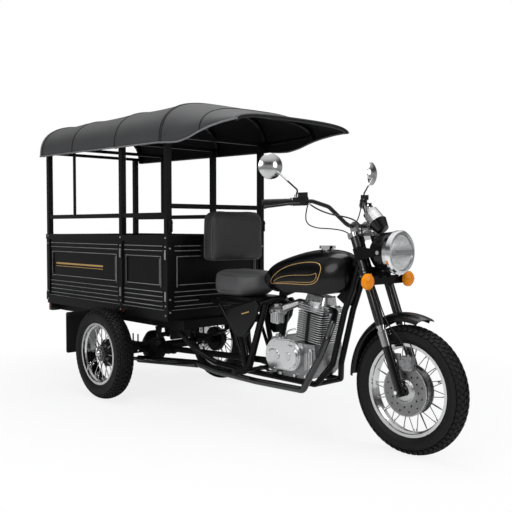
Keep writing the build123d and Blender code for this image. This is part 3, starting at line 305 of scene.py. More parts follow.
# Wheels
# Polished alloy rims with a bright rolled lip, steel spokes pulled by nipples in the rim well,
# a cast front hub with a drilled steel disc, and dark brake drums behind the rear spokes.
def zoned(name, origin, axis, bands, radial=True, grain=260.0, relief=0.02, coat=0.0, specular=0.35):
    """Finish in zones by distance from an axis or along it: end, grey or colour, roughness and metal."""
    look = surface(name, 0.5, 0.3, grain=grain, relief=relief, coat=coat, specular=specular)
    tree = look.node_tree
    reach = wired(tree, "VectorMath", {0: tree.nodes["place"].outputs["Object"], 1: origin},
                  operation="SUBTRACT")
    reach = wired(tree, "VectorMath", {0: reach.outputs[0], 1: axis},
                  operation="CROSS_PRODUCT" if radial else "DOT_PRODUCT")
    if radial:
        reach = wired(tree, "VectorMath", {0: reach.outputs[0]}, operation="LENGTH")
    low, span = (0.0, 0.4) if radial else (-1.0, 2.0)
    share = worked(tree, "DIVIDE", worked(tree, "SUBTRACT", reach.outputs["Value"], low), span)
    hues, traits = (wired(tree, "ValToRGB", {"Fac": share}) for _ in range(2))
    for ramp in (hues, traits):
        ramp.color_ramp.interpolation = "CONSTANT"
        ramp.color_ramp.elements.remove(ramp.color_ramp.elements[1])
    start = 0.0
    for count, (end, colour, rough, metal) in enumerate(bands):
        colour = colour if isinstance(colour, tuple) else (colour, colour, colour)
        for ramp, value in ((hues, colour), (traits, (rough, metal, 0.0))):
            stops = ramp.color_ramp.elements
            stop = stops[0] if count == 0 else stops.new(start)
            stop.color = (*value, 1.0)
        start = (end - low) / span
    gloss = tree.nodes["gloss"].outputs["Result"]
    tone = wired(tree, "MapRange", {"Value": gloss, "To Min": 0.7, "To Max": 1.3}).outputs["Result"]
    hue = wired(tree, "VectorMath", {0: hues.outputs["Color"], "Scale": tone}, operation="SCALE")
    parts = wired(tree, "SeparateColor", {"Color": traits.outputs["Color"]}).outputs
    feed(tree, tree.nodes["Principled BSDF"], {"Base Color": hue.outputs[0], "Metallic": parts["Green"],
                                               "Roughness": worked(tree, "MULTIPLY", parts["Red"], tone)})
    return look


across = (0.0, 1.0, 0.0)
hub_bands = [(0.034, 0.30, 0.30, 1.0), (0.118, 0.20, 0.42, 1.0), (0.129, 0.34, 0.30, 1.0),
             (0.205, 0.10, 0.34, 1.0), (0.400, 0.66, 0.15, 1.0)]
dress(zoned("front_wheel_metal", front_hub, across, hub_bands), "front_wheel")
disc_bands = [(0.060, 0.55, 0.22, 1.0), (0.074, 0.30, 0.36, 1.0), (0.126, 0.26, 0.42, 1.0),
              (0.400, 0.42, 0.30, 1.0)]
dress(zoned("disc_steel", front_hub, across, disc_bands, grain=900.0, relief=0.05), "brake_disc")
drum_bands = [(0.030, 0.40, 0.30, 1.0), (0.055, 0.14, 0.40, 1.0), (0.095, 0.03, 0.5, 1.0),
              (0.172, 0.45, 0.26, 1.0), (0.400, 0.72, 0.13, 1.0)]
for side, hub in rear_hubs.items():
    dress(zoned(f"rear_wheel_metal_{side}", hub, across, drum_bands), f"rear_wheel_{side}")


# Spoke nipples and valves
# Plated nipples seat the spokes in the rim well, and each rim has one capped valve stem.
bright = surface("bright_steel", (0.62, 0.62, 0.63), 0.18, metal=1.0, grain=240.0, tone=0.08, relief=0.004)


def stud(shape, place, aim, radius, height, sides=6, tip=None):
    """Add a short round or many-sided head that stands on a place and points along aim."""
    tip = radius if tip is None else tip
    turned = Vector(aim).to_track_quat("Z", "Y").to_matrix().to_4x4()
    bmesh.ops.create_cone(shape, cap_ends=True, segments=sides, radius1=radius, radius2=tip, depth=height,
                          matrix=Matrix.Translation(Vector(place) + Vector(aim) * height / 2) @ turned)


def ring(radius, turn):
    """Offset round a cross axis: ahead at no turn, and up at a quarter."""
    return Vector((radius * math.cos(turn), 0.0, radius * math.sin(turn)))


def nipples(name, hub, pairs, lean, well, nipple_y, body):
    """Nipples where the laced spokes meet the rim, with the valve stem between two of them."""
    shape = bmesh.new()
    for side in (-1, 1):
        for count in range(pairs):
            for way in (-1, 1):
                tip = math.radians(360.0 / pairs * (count + side * 0.25) + way * lean)
                foot = hub + ring(well, tip) + Vector((0.0, side * nipple_y, 0.0))
                stud(shape, foot, ring(-1.0, tip), 0.0042, 0.012, tip=0.003)
    turn = math.radians(180.0 / pairs)
    aim = ring(-1.0, turn)
    foot = hub + ring(well, turn)
    stud(shape, foot, aim, 0.0045, 0.022, sides=10)
    stud(shape, foot + aim * 0.022, aim, 0.0055, 0.012, sides=10, tip=0.005)
    finished(name, shape, bright, body)


nipples("front_nipples", front_hub, 9, 9.0, 0.211, 0.006, "front_wheel_set")
for side, hub in rear_hubs.items():
    nipples(f"rear_nipples_{side}", hub, 6, 17.0, 0.180, 0.010, f"{side}_wheel_set")


# Roof cover
# One sheet of coated cloth stretched over the steel bows, grey outside and black inside, with a
# piped hem, welted seams over the bows and a thick rolled front edge over the rider.
axle_x = -0.7085
roof_half = 0.461
# Columns: station ahead of the rear axle, height of the side edge, height of the crown
roof_rows = [(-0.992, 1.690, 1.945), (0.598, 1.668, 1.945), (0.690, 1.659, 1.934), (0.790, 1.656, 1.913),
             (0.895, 1.674, 1.888), (0.986, 1.700, 1.864), (1.080, 1.718, 1.840), (1.190, 1.732, 1.814),
             (1.316, 1.738, 1.784)]
bow_places = [-0.992, -0.957, -0.586, 0.062, 0.580, 1.025, 1.316]
roof_sag = 0.007


def at(station, y, z):
    """Place by its station, the distance ahead of the rear axle."""
    return Vector((axle_x + station, y, z))


def roof_place(station, turn, lift=0.0):
    """Point of the roof: turn runs from 0 at the right edge over the crown to pi at the left edge."""
    for low, high in zip(roof_rows, roof_rows[1:]):
        if station <= high[0] or high is roof_rows[-1]:
            break
    part = (station - low[0]) / (high[0] - low[0])
    edge = low[1] + (high[1] - low[1]) * part
    crown = low[2] + (high[2] - low[2]) * part
    climb = max(0.0, math.sin(turn))
    across = -roof_half * math.copysign(abs(math.cos(turn)) ** 0.62, math.cos(turn))
    height = edge + (crown - edge) * climb ** 0.80
    for a, b in zip(bow_places, bow_places[1:]):
        if a <= station <= b:
            height -= roof_sag * math.sin(math.pi * (station - a) / (b - a)) * climb
    out = Vector((0.0, across / roof_half * 0.6, 0.35 + climb)).normalized()
    return at(station, across, height) + out * lift


def meshed(thing):
    """Mesh of an object as it stands, with its modifiers or its round section."""
    bpy.context.view_layer.update()
    return bpy.data.meshes.new_from_object(thing.evaluated_get(bpy.context.evaluated_depsgraph_get()))


def smooth_line(name, places, radius=0.0, closed=False, fine=6, rounds=3):
    """Curve of one smooth line led by its places, round where it has a radius."""
    data = bpy.data.curves.new(name, "CURVE")
    data.dimensions = "3D"
    data.bevel_depth = radius
    data.bevel_resolution = rounds
    data.use_fill_caps = not closed
    line = data.splines.new("NURBS")
    line.points.add(len(places) - 1)
    for point, place in zip(line.points, places):
        point.co = (*place, 1.0)
    line.order_u = 3
    line.use_endpoint_u = not closed
    line.use_cyclic_u = closed
    line.resolution_u = fine
    return linked(name, data)


def tube_along(name, places, radius, look, body, closed=False):
    """Round cord or pipe along given places, made a mesh."""
    rough = smooth_line("rough_tube", places, radius, closed)
    mesh = meshed(rough)
    bpy.data.objects.remove(rough)
    coated(mesh, look)
    made = linked(name, mesh)
    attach(made, body)
    return made


roof_cloth = surface("roof_cloth", (0.034, 0.0345, 0.036), 0.42, grain=900.0, tone=0.18, relief=0.05,
                     specular=0.4, sheen=0.1)
roof_lining = surface("roof_lining", 0.007, 0.8, grain=500.0, relief=0.04, specular=0.15)
seam_cloth = surface("roof_seam", 0.006, 0.4, grain=900.0, relief=0.04)
piping = surface("roof_piping", (0.17, 0.17, 0.175), 0.42, grain=700.0, relief=0.02)

lengthwise, around = 88, 44
shape = bmesh.new()
bmesh.ops.create_grid(shape, x_segments=lengthwise, y_segments=around, size=0.5)
first, last = roof_rows[0][0], roof_rows[-1][0]
for point in shape.verts:
    point.co = roof_place(first + (point.co.x + 0.5) * (last - first), (point.co.y + 0.5) * math.pi)
bmesh.ops.recalc_face_normals(shape, faces=shape.faces[:])
crown_face = max(shape.faces, key=lambda face: face.calc_center_median().z)
if crown_face.normal.z < 0:
    bmesh.ops.reverse_faces(shape, faces=shape.faces[:])
roof_area = sum(face.calc_area() for face in shape.faces)
roof_sheet = finished("roof_sheet", shape, roof_cloth, "chassis", crease=60.0)
roof_sheet.data.materials.append(roof_lining)
wall = roof_sheet.modifiers.new("thickness", "SOLIDIFY")
wall.thickness = 0.003
wall.offset = -1.0
wall.material_offset = 1
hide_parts("canopy_cover")

turns = [math.pi * k / 40 for k in range(41)]
stations = [first + (last - first) * k / 60 for k in range(61)]
for side, turn in (("right", 0.0), ("left", math.pi)):
    places = [roof_place(s, turn) + Vector((0.0, 0.0, 0.004)) for s in stations]
    tube_along(f"roof_hem_{side}", places, 0.0055, piping, "chassis")
places = [roof_place(last - 0.012, t, -0.008) for t in turns]
tube_along("roof_hem_front", places, 0.0120, seam_cloth, "chassis")
places = [roof_place(first + 0.006, t, -0.002) for t in turns]
tube_along("roof_hem_rear", places, 0.0055, piping, "chassis")
for count, station in enumerate((-0.957, -0.495, 0.077, 0.588, 0.606, 0.986)):
    places = [roof_place(station, t, 0.0005) for t in turns]
    tube_along(f"roof_seam_{count}", places, 0.0040, seam_cloth, "chassis")


# Rider's seat and back cushion
# Foam under grained vinyl, cut and sewn with a piped edge. Each cushion swells from a smaller
# blank under pressure as the real cover does over its foam, and the welts are laid on after.
seat_vinyl = surface("seat_vinyl", (0.082, 0.082, 0.084), 0.48, grain=750.0, tone=0.2, relief=0.06,
                     specular=0.35, sheen=0.08)
back_vinyl = surface("back_vinyl", (0.026, 0.026, 0.027), 0.5, grain=750.0, tone=0.2, relief=0.06,
                     specular=0.3, sheen=0.06)
welt_vinyl = surface("welt_vinyl", (0.060, 0.060, 0.061), 0.4, grain=700.0, relief=0.02)
welt_r = 0.0038


def cushion(name, node, margin, swell, look, rounds, reshape=None):
    """Pad for a frame node: a smaller blank of its block, blown up and held to a greatest move, swell."""
    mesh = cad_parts[node].data.copy()
    low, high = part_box(node)
    middle, extent = (low + high) / 2, high - low
    blank = bmesh.new()
    blank.from_mesh(mesh)
    bmesh.ops.remove_doubles(blank, verts=blank.verts[:], dist=0.0002)
    for point in blank.verts:
        for axis in range(3):
            share = 1.0 - 2.0 * margin[axis] / extent[axis]
            point.co[axis] = middle[axis] + (point.co[axis] - middle[axis]) * share
        if reshape:
            point.co = reshape(point.co)
    blank.to_mesh(mesh)
    blank.free()
    mesh.materials.clear()
    pad = linked(name, mesh)
    even = pad.modifiers.new("even", "REMESH")
    even.mode = "VOXEL"
    even.voxel_size = 0.007
    pad.data = meshed(pad)
    pad.modifiers.clear()
    rest = [point.co.copy() for point in pad.data.vertices]
    cloth = pad.modifiers.new("stuffing", "CLOTH")
    cloth.settings.use_pressure = True
    cloth.settings.uniform_pressure_force = 4.0
    cloth.settings.effector_weights.gravity = 0.0
    for step in range(1, 21):
        bpy.context.scene.frame_set(step)
    blown = meshed(pad)
    pad.modifiers.clear()
    bpy.context.scene.frame_set(1)
    for point, start in zip(blown.vertices, rest):
        move = point.co - start
        if move.length > swell:
            point.co = start + move.normalized() * swell
    pad.data = blown
    soft = bmesh.new()
    soft.from_mesh(pad.data)
    for _ in range(rounds):
        bmesh.ops.smooth_vert(soft, verts=soft.verts[:], factor=0.5, use_axis_x=True, use_axis_y=True,
                              use_axis_z=True)
    soft.to_mesh(pad.data)
    soft.free()
    coated(pad.data, look)
    smooth = pad.modifiers.new("smooth", "SUBSURF")
    smooth.levels = smooth.render_levels = 1
    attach(pad, "chassis")
    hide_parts(node)
    return pad


def saddle(place):
    """Lift the underside of the seat's nose toward the tank and dish the top a little."""
    low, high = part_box("rider_seat")
    ahead = max(0.0, (place.x - (high.x - 0.13)) / 0.13)
    depth = (high.z - place.z) / (high.z - low.z)
    dip = 0.010 * math.sin(math.pi * min(1.0, (place.x - low.x) / (high.x - low.x)))
    return Vector((place.x, place.y, place.z + 0.045 * ahead * depth - dip * (1 - depth)))


def welt(name, places, pad):
    """Closed piping laid on a cushion's skin."""
    laid = []
    for place in places:
        _, spot, normal, _ = pad.closest_point_on_mesh(place)
        laid.append(spot + normal * welt_r * 0.3)
    tube_along(name, laid, welt_r, welt_vinyl, "chassis", closed=True)


seat_pad = cushion("seat_cushion", "rider_seat", (0.002, 0.002, 0.002), 0.010, seat_vinyl, 90, saddle)
back_pad = cushion("back_cushion", "backrest", (0.004, 0.008, 0.008), 0.014, back_vinyl, 40)


def rounded_loop(half_w, half_h, corner):
    """Rounded rectangle round the middle, as pairs."""
    points = []
    count = 6
    for quarter in range(4):
        cx = (half_w - corner) * (1 if quarter in (0, 3) else -1)
        cy = (half_h - corner) * (1 if quarter in (0, 1) else -1)
        for k in range(count + 1):
            turn = math.pi / 2 * (quarter + k / count)
            points.append((cx + corner * math.cos(turn), cy + corner * math.sin(turn)))
    return points


low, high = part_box("backrest")
middle = (low + high) / 2
for name, x in (("back_welt_front", high.x - 0.016), ("back_welt_rear", low.x + 0.012)):
    loop = rounded_loop((high.y - low.y) / 2, (high.z - low.z) / 2, 0.075)
    welt(name, [Vector((x, middle.y + a, middle.z + b)) for a, b in loop], back_pad)
low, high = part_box("rider_seat")
half = [(0.0, -0.120), (0.040, -0.150), (0.150, -0.153), (0.260, -0.150), (0.330, -0.118), (0.385, -0.084)]
plan = half + [(0.385, 0.0)] + [(a, -b) for a, b in reversed(half)] + [(0.0, 0.0)]
for name, z in (("seat_welt_top", high.z - 0.022), ("seat_welt_low", low.z + 0.030)):
    welt(name, [Vector((low.x + a, b, z)) for a, b in plan], seat_pad)


# Load box
# Pressed sheet panels, floor and square posts, powder coated black. Thin light grey strips along the
# pressed beads' edges are painted highlight, and hinges, latches and bolts hold the panels to the posts.
box_paint = surface("box_paint", (0.0045, 0.0045, 0.0048), 0.34, grain=260.0, relief=0.02, specular=0.13)
dress(box_paint, "side_panels", "front_panel", "tailgate", "cargo_floor", "canopy_posts", "canopy_rails",
      "canopy_bows")
# Light grey that paints highlights along the pressed beads' upper edges; the box bolts are this grey too.
bolt_grey_and_painted_highlight = surface("bolt_grey_and_painted_highlight", (0.24, 0.24, 0.245), 0.3, grain=200.0, tone=0.5, relief=0.01)
bead_inset = 0.020
bead_tops = (0.172, 0.228, 0.284, 0.340, 0.822, 0.878)
foot_bead = 0.125
field_low, field_high, field_inset, field_edge = 0.39, 0.755, 0.040, 0.013
line_r = 0.0024
forward, leftward, upward = Matrix.Identity(3)


def brick(shape, middle, size, turn=Matrix()):
    """Add an oblong of a size, turned about its middle."""
    place = Matrix.Translation(middle) @ turn @ Matrix.Diagonal((*size, 1.0))
    return bmesh.ops.create_cube(shape, size=1.0, matrix=place)["verts"]


def eased(shape, edges, offset, segments=1):
    """Round edges off."""
    bmesh.ops.bevel(shape, geom=edges, offset=offset, affect="EDGES", segments=segments, profile=0.5,
                    material=-1)


def painted_highlight_strip(shape, start, end):
    """Add one round strip of painted highlight between two places."""
    way = end - start
    stud(shape, start, way.normalized(), line_r, way.length, sides=8)


def painted_edge_highlights(name, corner, along, outward, length, height, body):
    """Painted highlights along the edges of one pressed wall: corner is its low outer end, along and outward
    unit vectors.
    """
    shape = bmesh.new()

    def spot(run, rise, sunk):
        """Place on the wall: along from its corner, up, and in from its face."""
        return corner + along * run + upward * rise - outward * sunk

    runs = [(bead_inset + 0.002, share * height - 0.0016, 0.0046) for share in bead_tops]
    for start, rise, sunk in runs + [(0.003, foot_bead * height, 0.003)]:
        painted_highlight_strip(shape, spot(start, rise, sunk), spot(length - start, rise, sunk))
    left, right = field_inset + 0.0015, length - field_inset - 0.0015
    low, high = field_low * height + 0.0015, field_high * height - 0.0015
    for corners in ((left, high, right, high), (left, low, left, high), (right, low, right, high)):
        painted_highlight_strip(shape, spot(*corners[:2], 0.0055), spot(*corners[2:], 0.0055))
    left, right, low, high = left + field_edge, right - field_edge, low + field_edge, high - field_edge
    for corners in ((left, low, right, low), (right, low, right, high)):
        painted_highlight_strip(shape, spot(*corners[:2], 0.0045), spot(*corners[2:], 0.0045))
    finished(name, shape, bolt_grey_and_painted_highlight, body)


panel_low, panel_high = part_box("side_panels")
wall_height = panel_high.z - panel_low.z
rear_end, mid_low, mid_high, front_end = panel_low.x, axle_x + 0.0437, axle_x + 0.0803, panel_high.x
for side, outward in (("right", -leftward), ("left", leftward)):
    y = panel_low.y if side == "right" else panel_high.y
    for part, a, b in (("rear", rear_end, mid_low), ("front", mid_high, front_end)):
        painted_edge_highlights(f"edges_{side}_{part}", Vector((a, y, panel_low.z)), forward, outward, b - a, wall_height,
                    "chassis")
low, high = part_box("front_panel")
painted_edge_highlights("edges_front", Vector((high.x, low.y, low.z)), leftward, forward, high.y - low.y, wall_height,
            "chassis")
low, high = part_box("tailgate")
gate_low = 0.589
painted_edge_highlights("edges_gate", Vector((low.x + 0.016, low.y, gate_low)), leftward, -forward, high.y - low.y,
            wall_height - 0.026, "gate")

post_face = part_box("canopy_posts")[1].x
hardware = bmesh.new()
for y in (panel_low.y, panel_high.y):
    out = leftward * math.copysign(1.0, y)
    for x in (rear_end - 0.018, mid_low + 0.018, front_end + 0.018):
        for z in (0.60, 0.66, 1.03, 1.085):
            stud(hardware, Vector((x, y, z)), out, 0.0065, 0.005)
    for x in (mid_low + 0.018, front_end + 0.018):
        for z in (0.72, 0.98):
            stud(hardware, Vector((x, y + out.y * 0.004, z - 0.03)), upward, 0.006, 0.06, sides=12)
for y in (-0.30, 0.30):
    for z in (0.62, 0.70, 1.02):
        stud(hardware, Vector((post_face, math.copysign(0.392, y), z)), forward, 0.0065, 0.005)
finished("box_bolts", hardware, bolt_grey_and_painted_highlight, "chassis")

hooks = bmesh.new()
for y in (-0.392, 0.392):
    base = Vector((post_face, y, 1.16))
    hook = brick(hooks, base + Vector((0.008, 0.0, 0.0)), (0.016, 0.030, 0.075))
    eased(hooks, list(dict.fromkeys(edge for point in hook for edge in point.link_edges)), 0.004, 2)
    stud(hooks, base + Vector((0.016, 0.0, 0.018)), forward, 0.008, 0.010, sides=12)
    stud(hooks, base + Vector((0.016, 0.0, -0.020)), forward, 0.006, 0.006, sides=12)
finished("post_latches", hooks, frame_paint, "chassis")


# Gloss bodywork
# Tank, side covers and guard in polished black enamel under a clear coat, with thin gold lining
# on the tank's flanks that follows its curve.
enamel = surface("enamel", (0.0025, 0.0025, 0.003), 0.26, grain=400.0, relief=0.002, spread=0.04, coat=0.14,
                 specular=0.2)
dress(enamel, "fuel_tank", "side_covers", "front_fender", "headlamp_shell")
gold = surface("gold_line", (0.70, 0.44, 0.17), 0.34, metal=0.6, grain=300.0, tone=0.2, relief=0.01)
# Stations and heights of the lining's corners, in order, for the outer and the inner line
outer_line = [(1.205, 0.822), (1.245, 0.868), (1.330, 0.922), (1.430, 0.950), (1.530, 0.962), (1.600, 0.960),
              (1.628, 0.935), (1.618, 0.885), (1.590, 0.846), (1.520, 0.834), (1.400, 0.834), (1.290, 0.830)]
inner_line = [(1.232, 0.828), (1.300, 0.864), (1.390, 0.882), (1.470, 0.886), (1.560, 0.890), (1.598, 0.905),
              (1.600, 0.880), (1.575, 0.852), (1.500, 0.846), (1.380, 0.845)]
skin = bmesh.new()
skin.from_mesh(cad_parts["fuel_tank"].data)
tank_skin = BVHTree.FromBMesh(skin)
skin.free()


def lining(name, corners, width, side):
    """Thin painted line on a tank flank: a smooth closed loop seen from the side, laid on the skin."""
    rough = smooth_line("rough_lining", [at(*corner, 0.0) for corner in corners], closed=True, fine=8)
    places = [point.co.copy() for point in meshed(rough).vertices]
    bpy.data.objects.remove(rough)
    shape = bmesh.new()
    rows = []
    for before, here, after in zip(places[-1:] + places[:-1], places, places[1:] + places[:1]):
        way = (after - before).normalized()
        beside = Vector((-way.y, way.x)) * width / 2
        row = []
        for half in (-1, 1):
            x, z = here.x + beside.x * half, here.y + beside.y * half
            spot, normal, _, _ = tank_skin.ray_cast(Vector((x, side * 0.4, z)), Vector((0.0, -side, 0.0)))
            row.append(shape.verts.new(spot + normal * 0.0006))
        rows.append(row)
    for a, b in zip(rows, rows[1:] + rows[:1]):
        shape.faces.new((a[0], a[1], b[1], b[0]))
    bmesh.ops.recalc_face_normals(shape, faces=shape.faces[:])
    if shape.faces[0].normal.y * side < 0:
        bmesh.ops.reverse_faces(shape, faces=shape.faces[:])
    made = finished(name, shape, gold, "chassis", crease=60.0)
    wall = made.modifiers.new("paint", "SOLIDIFY")
    wall.thickness = 0.0005
    wall.offset = -1.0


for label, side in (("right", -1), ("left", 1)):
    lining(f"tank_line_{label}", outer_line, 0.0042, side)
    lining(f"tank_line_inner_{label}", inner_line, 0.0030, side)


# Fork and yokes
# Black enamelled sliders, a satin alloy cone and bright collar over each, black covers above, and
# black cast yokes with bright pinch bolts and a chromed top clamp.
rake = math.radians(21.0)
leg_way = Vector((-math.sin(rake), 0.0, math.cos(rake)))
leg_bands = [(0.231, 0.003, 0.18, 0.0), (0.316, 0.42, 0.26, 1.0), (0.337, 0.70, 0.14, 1.0),
             (1.0, 0.004, 0.28, 0.0)]
dress(zoned("fork_finish", front_hub, leg_way, leg_bands, radial=False, grain=300.0, relief=0.004, coat=0.3),
      "fork_legs")
yoke_bands = [(0.815, 0.006, 0.25, 0.0), (1.0, 0.55, 0.2, 1.0)]
dress(zoned("yoke_finish", front_hub, leg_way, yoke_bands, radial=False, grain=200.0, relief=0.02),
      "fork_yokes")


def fork_place(x, y, s):
    """Row place of a point in the fork's frame: ahead of the legs, to the left, along the legs."""
    return front_hub + Vector((x * math.cos(rake), y, x * math.sin(rake))) + leg_way * s


chrome = surface("chrome", (0.80, 0.80, 0.81), 0.12, metal=1.0, grain=200.0, tone=0.06, relief=0.001)
ahead = ring(1.0, rake)
bolts = bmesh.new()
for y in (-0.084, 0.084):
    out = leftward * math.copysign(1.0, y)
    for s in (0.625, 0.641):
        stud(bolts, fork_place(0.022, y * 1.38, s), out, 0.006, 0.007)
    stud(bolts, fork_place(0.0, y, 0.849), leg_way, 0.019, 0.006, tip=0.017)
    stud(bolts, fork_place(0.0, y + out.y * 0.034, 0.0), out, 0.011, 0.006, tip=0.010)
    for x in (-0.012, -0.018):
        stud(bolts, fork_place(x + 0.002, y * 0.57, 0.911), leg_way, 0.005, 0.006)
    for spread in (-1, 1):
        stud(bolts, fork_place(0.024, y - out.y * 0.027, 0.30 + spread * 0.006), ahead, 0.005, 0.006)
stud(bolts, fork_place(-0.045, 0.0, 0.862), leg_way, 0.016, 0.012, tip=0.014)
finished("fork_bolts", bolts, chrome, "steering")


# Headlamp
# Spun steel bowl with a chromed ring, a silvered reflector with its bulb, and a moulded glass lens
# with upright flutes and a plain band across the middle.
dress(chrome, "headlamp_rim", "fuel_cap")
lamp = middle_of("headlamp_lens")
lens_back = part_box("headlamp_lens")[0].x
lens_r = 0.0936
glass = surface("lens_glass", (0.96, 0.965, 0.97), 0.06, grain=60.0, tone=0.03, relief=0.0, spread=0.03,
                specular=0.5)
tree = glass.node_tree
feed(tree, tree.nodes["Principled BSDF"], {"Transmission Weight": 0.9, "IOR": 1.42})


def lamp_turned(section, steps):
    """Shape turned about the lamp's level axis from pairs of radius and distance ahead of the lens's back."""
    shape = bmesh.new()
    points = [shape.verts.new((lens_back + x, lamp.y, lamp.z + r)) for r, x in section]
    edges = [shape.edges.new(pair) for pair in zip(points, points[1:])]
    bmesh.ops.spin(shape, geom=points + edges, cent=lamp, axis=(1, 0, 0), angle=2 * math.pi, steps=steps,
                   use_merge=True)
    bmesh.ops.remove_doubles(shape, verts=shape.verts[:], dist=0.00001)
    bmesh.ops.recalc_face_normals(shape, faces=shape.faces[:])
    return shape


front_face = [(lens_r * k / 15, 0.005 + 0.014 * (1 - (k / 15) ** 2)) for k in range(16)]
shape = lamp_turned(front_face + [(lens_r, 0.0), (lens_r * 0.5, 0.006), (0.0, 0.009)], 144)
flute = 0.0125
for point in shape.verts:
    off = point.co - lamp
    reach = math.hypot(off.y, off.z)
    if point.co.x > lens_back + 0.0049 and reach < lens_r - 0.003 and abs(off.z) > 0.007:
        point.co.x -= 0.0011 * (0.5 - 0.5 * math.cos(2 * math.pi * off.y / flute))
lens = finished("lamp_lens", shape, glass, "steering", crease=60.0)
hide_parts("headlamp_lens")

silvered = surface("reflector", 0.95, 0.22, metal=0.35, grain=60.0, tone=0.04, relief=0.0)
shape = lamp_turned([(0.090 * k / 10, -0.006 - 0.062 * (1 - (k / 10) ** 2)) for k in range(11)], 64)
if max(shape.faces, key=lambda f: f.calc_center_median().z).normal.z > 0:
    bmesh.ops.reverse_faces(shape, faces=shape.faces[:])
stud(shape, Vector((lens_back - 0.060, lamp.y, lamp.z)), forward, 0.010, 0.030, sides=20, tip=0.008)
finished("lamp_reflector", shape, silvered, "steering", crease=50.0)
# A dark strip just behind the lens is painted shade: it darkens the band across the lens's middle.
painted_shade_strip = bmesh.new()
brick(painted_shade_strip, (lens_back - 0.002, lamp.y, lamp.z), (0.003, 0.180, 0.028))
eased(painted_shade_strip, painted_shade_strip.edges[:], 0.001)
painted_shade_grey = surface("lens_painted_shade", (0.03, 0.03, 0.032), 0.4, grain=120.0, relief=0.02)
finished("lamp_painted_shade", painted_shade_strip, painted_shade_grey, "steering")

trim = bmesh.new()
stud(trim, Vector((lens_back - 0.012, lamp.y, lamp.z - 0.113)), Vector((0.5, 0, -0.87)), 0.005, 0.006,
     sides=12)
for side in (-1, 1):
    stud(trim, Vector((lens_back - 0.0595, lamp.y + side * 0.112, lamp.z)), leftward * side, 0.011, 0.008)
finished("lamp_screws", trim, chrome, "steering")


# Direction lamps
# Round amber lenses with a ridge across, screwed to pale plated housings on the crossbar's ends.
low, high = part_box("indicators")
amber_bands = [(0.013, 0.72, 0.2, 1.0), (1.0, (1.0, 0.31, 0.004), 0.3, 0.0)]
amber = zoned("amber_lens", Vector((low.x, 0, 0)), (1, 0, 0), amber_bands, radial=False, grain=80.0,
              relief=0.01, coat=0.1, specular=0.2)
dress(amber, "indicators")
ridge_amber = surface("amber_ridge", (0.80, 0.19, 0.003), 0.25, grain=80.0, relief=0.02)
shape = bmesh.new()
for side in (-1, 1):
    centre = Vector((high.x - 0.006, side * (high.y - 0.041), (low.z + high.z) / 2))
    brick(shape, centre, (0.008, 0.060, 0.0035))
    for spread in (-1, 1):
        stud(shape, centre + Vector((-0.004, 0.0, spread * 0.024)), forward, 0.003, 0.004, sides=8)
eased(shape, shape.edges[:], 0.0008)
finished("amber_ridges", shape, ridge_amber, "steering")


# Instrument
# One round speedometer: a satin bright can in a gloss black cup, with a white-figured dial under
# glass that faces the rider.
dial_low, dial_high = at(1.911, 0.0, 1.175), at(1.858, 0.0, 1.233)
dial_way = (dial_high - dial_low).normalized()
can_bands = [(0.004, 0.004, 0.2, 0.0), (0.060, 0.80, 0.30, 1.0), (1.0, 0.78, 0.15, 1.0)]
dress(zoned("speedometer_can", dial_low, dial_way, can_bands, radial=False, grain=120.0, relief=0.001),
      "speedometer")
dial_black = surface("dial_face", 0.006, 0.5, grain=300.0, relief=0.01)
dial_white = surface("dial_figures", (0.8, 0.8, 0.78), 0.5, grain=300.0, tone=0.05, relief=0.005)
turned = dial_way.to_track_quat("Z", "Y").to_matrix().to_4x4()
dial_space = Matrix.Translation(dial_high) @ turned @ Matrix.Rotation(-math.pi / 2, 4, "Z")
shape = bmesh.new()
bmesh.ops.create_cone(shape, cap_ends=True, segments=48, radius1=0.037, radius2=0.037, depth=0.0008,
                      matrix=dial_space @ Matrix.Translation((0, 0, 0.0006)))
finished("dial_plate", shape, dial_black, "steering")


def dial_mark(shape, turn, place, size):
    """Add a flat stroke to the dial, placed along its ray and then turned round the dial's middle."""
    spin = Matrix.Rotation(turn, 4, "Z") @ Matrix.Translation(place)
    bmesh.ops.create_cube(shape, size=1.0, matrix=dial_space @ spin @ Matrix.Diagonal((*size, 1.0)))


marks = bmesh.new()
for count in range(25):
    turn = math.radians(225.0 - 270.0 * count / 24)
    long = 0.006 if count % 4 == 0 else 0.003
    dial_mark(marks, turn, (0.0345 - long / 2, 0, 0.0012), (long, 0.0009, 0.0004))
dial_mark(marks, math.radians(225.0), (0.011, 0, 0.0022), (0.030, 0.0014, 0.0005))
stud(marks, dial_high + dial_way * 0.001, dial_way, 0.0035, 0.002, sides=16)
finished("dial_marks", marks, dial_white, "steering")
for count in range(7):
    turn = math.radians(225.0 - 45.0 * count)
    data = bpy.data.curves.new(f"dial_number_{count}", "FONT")
    data.body = str(count * 20)
    data.size = 0.0085
    data.align_x, data.align_y = "CENTER", "CENTER"
    data.extrude = 0.0002
    rough = linked("rough_figure", data)
    figure = bmesh.new()
    figure.from_mesh(meshed(rough))
    bpy.data.objects.remove(rough)
    bmesh.ops.transform(figure, verts=figure.verts[:], matrix=dial_space @ Matrix.Translation(
        (0.0235 * math.cos(turn), 0.0235 * math.sin(turn), 0.0012)))
    finished(f"dial_number_{count}", figure, dial_white, "steering")


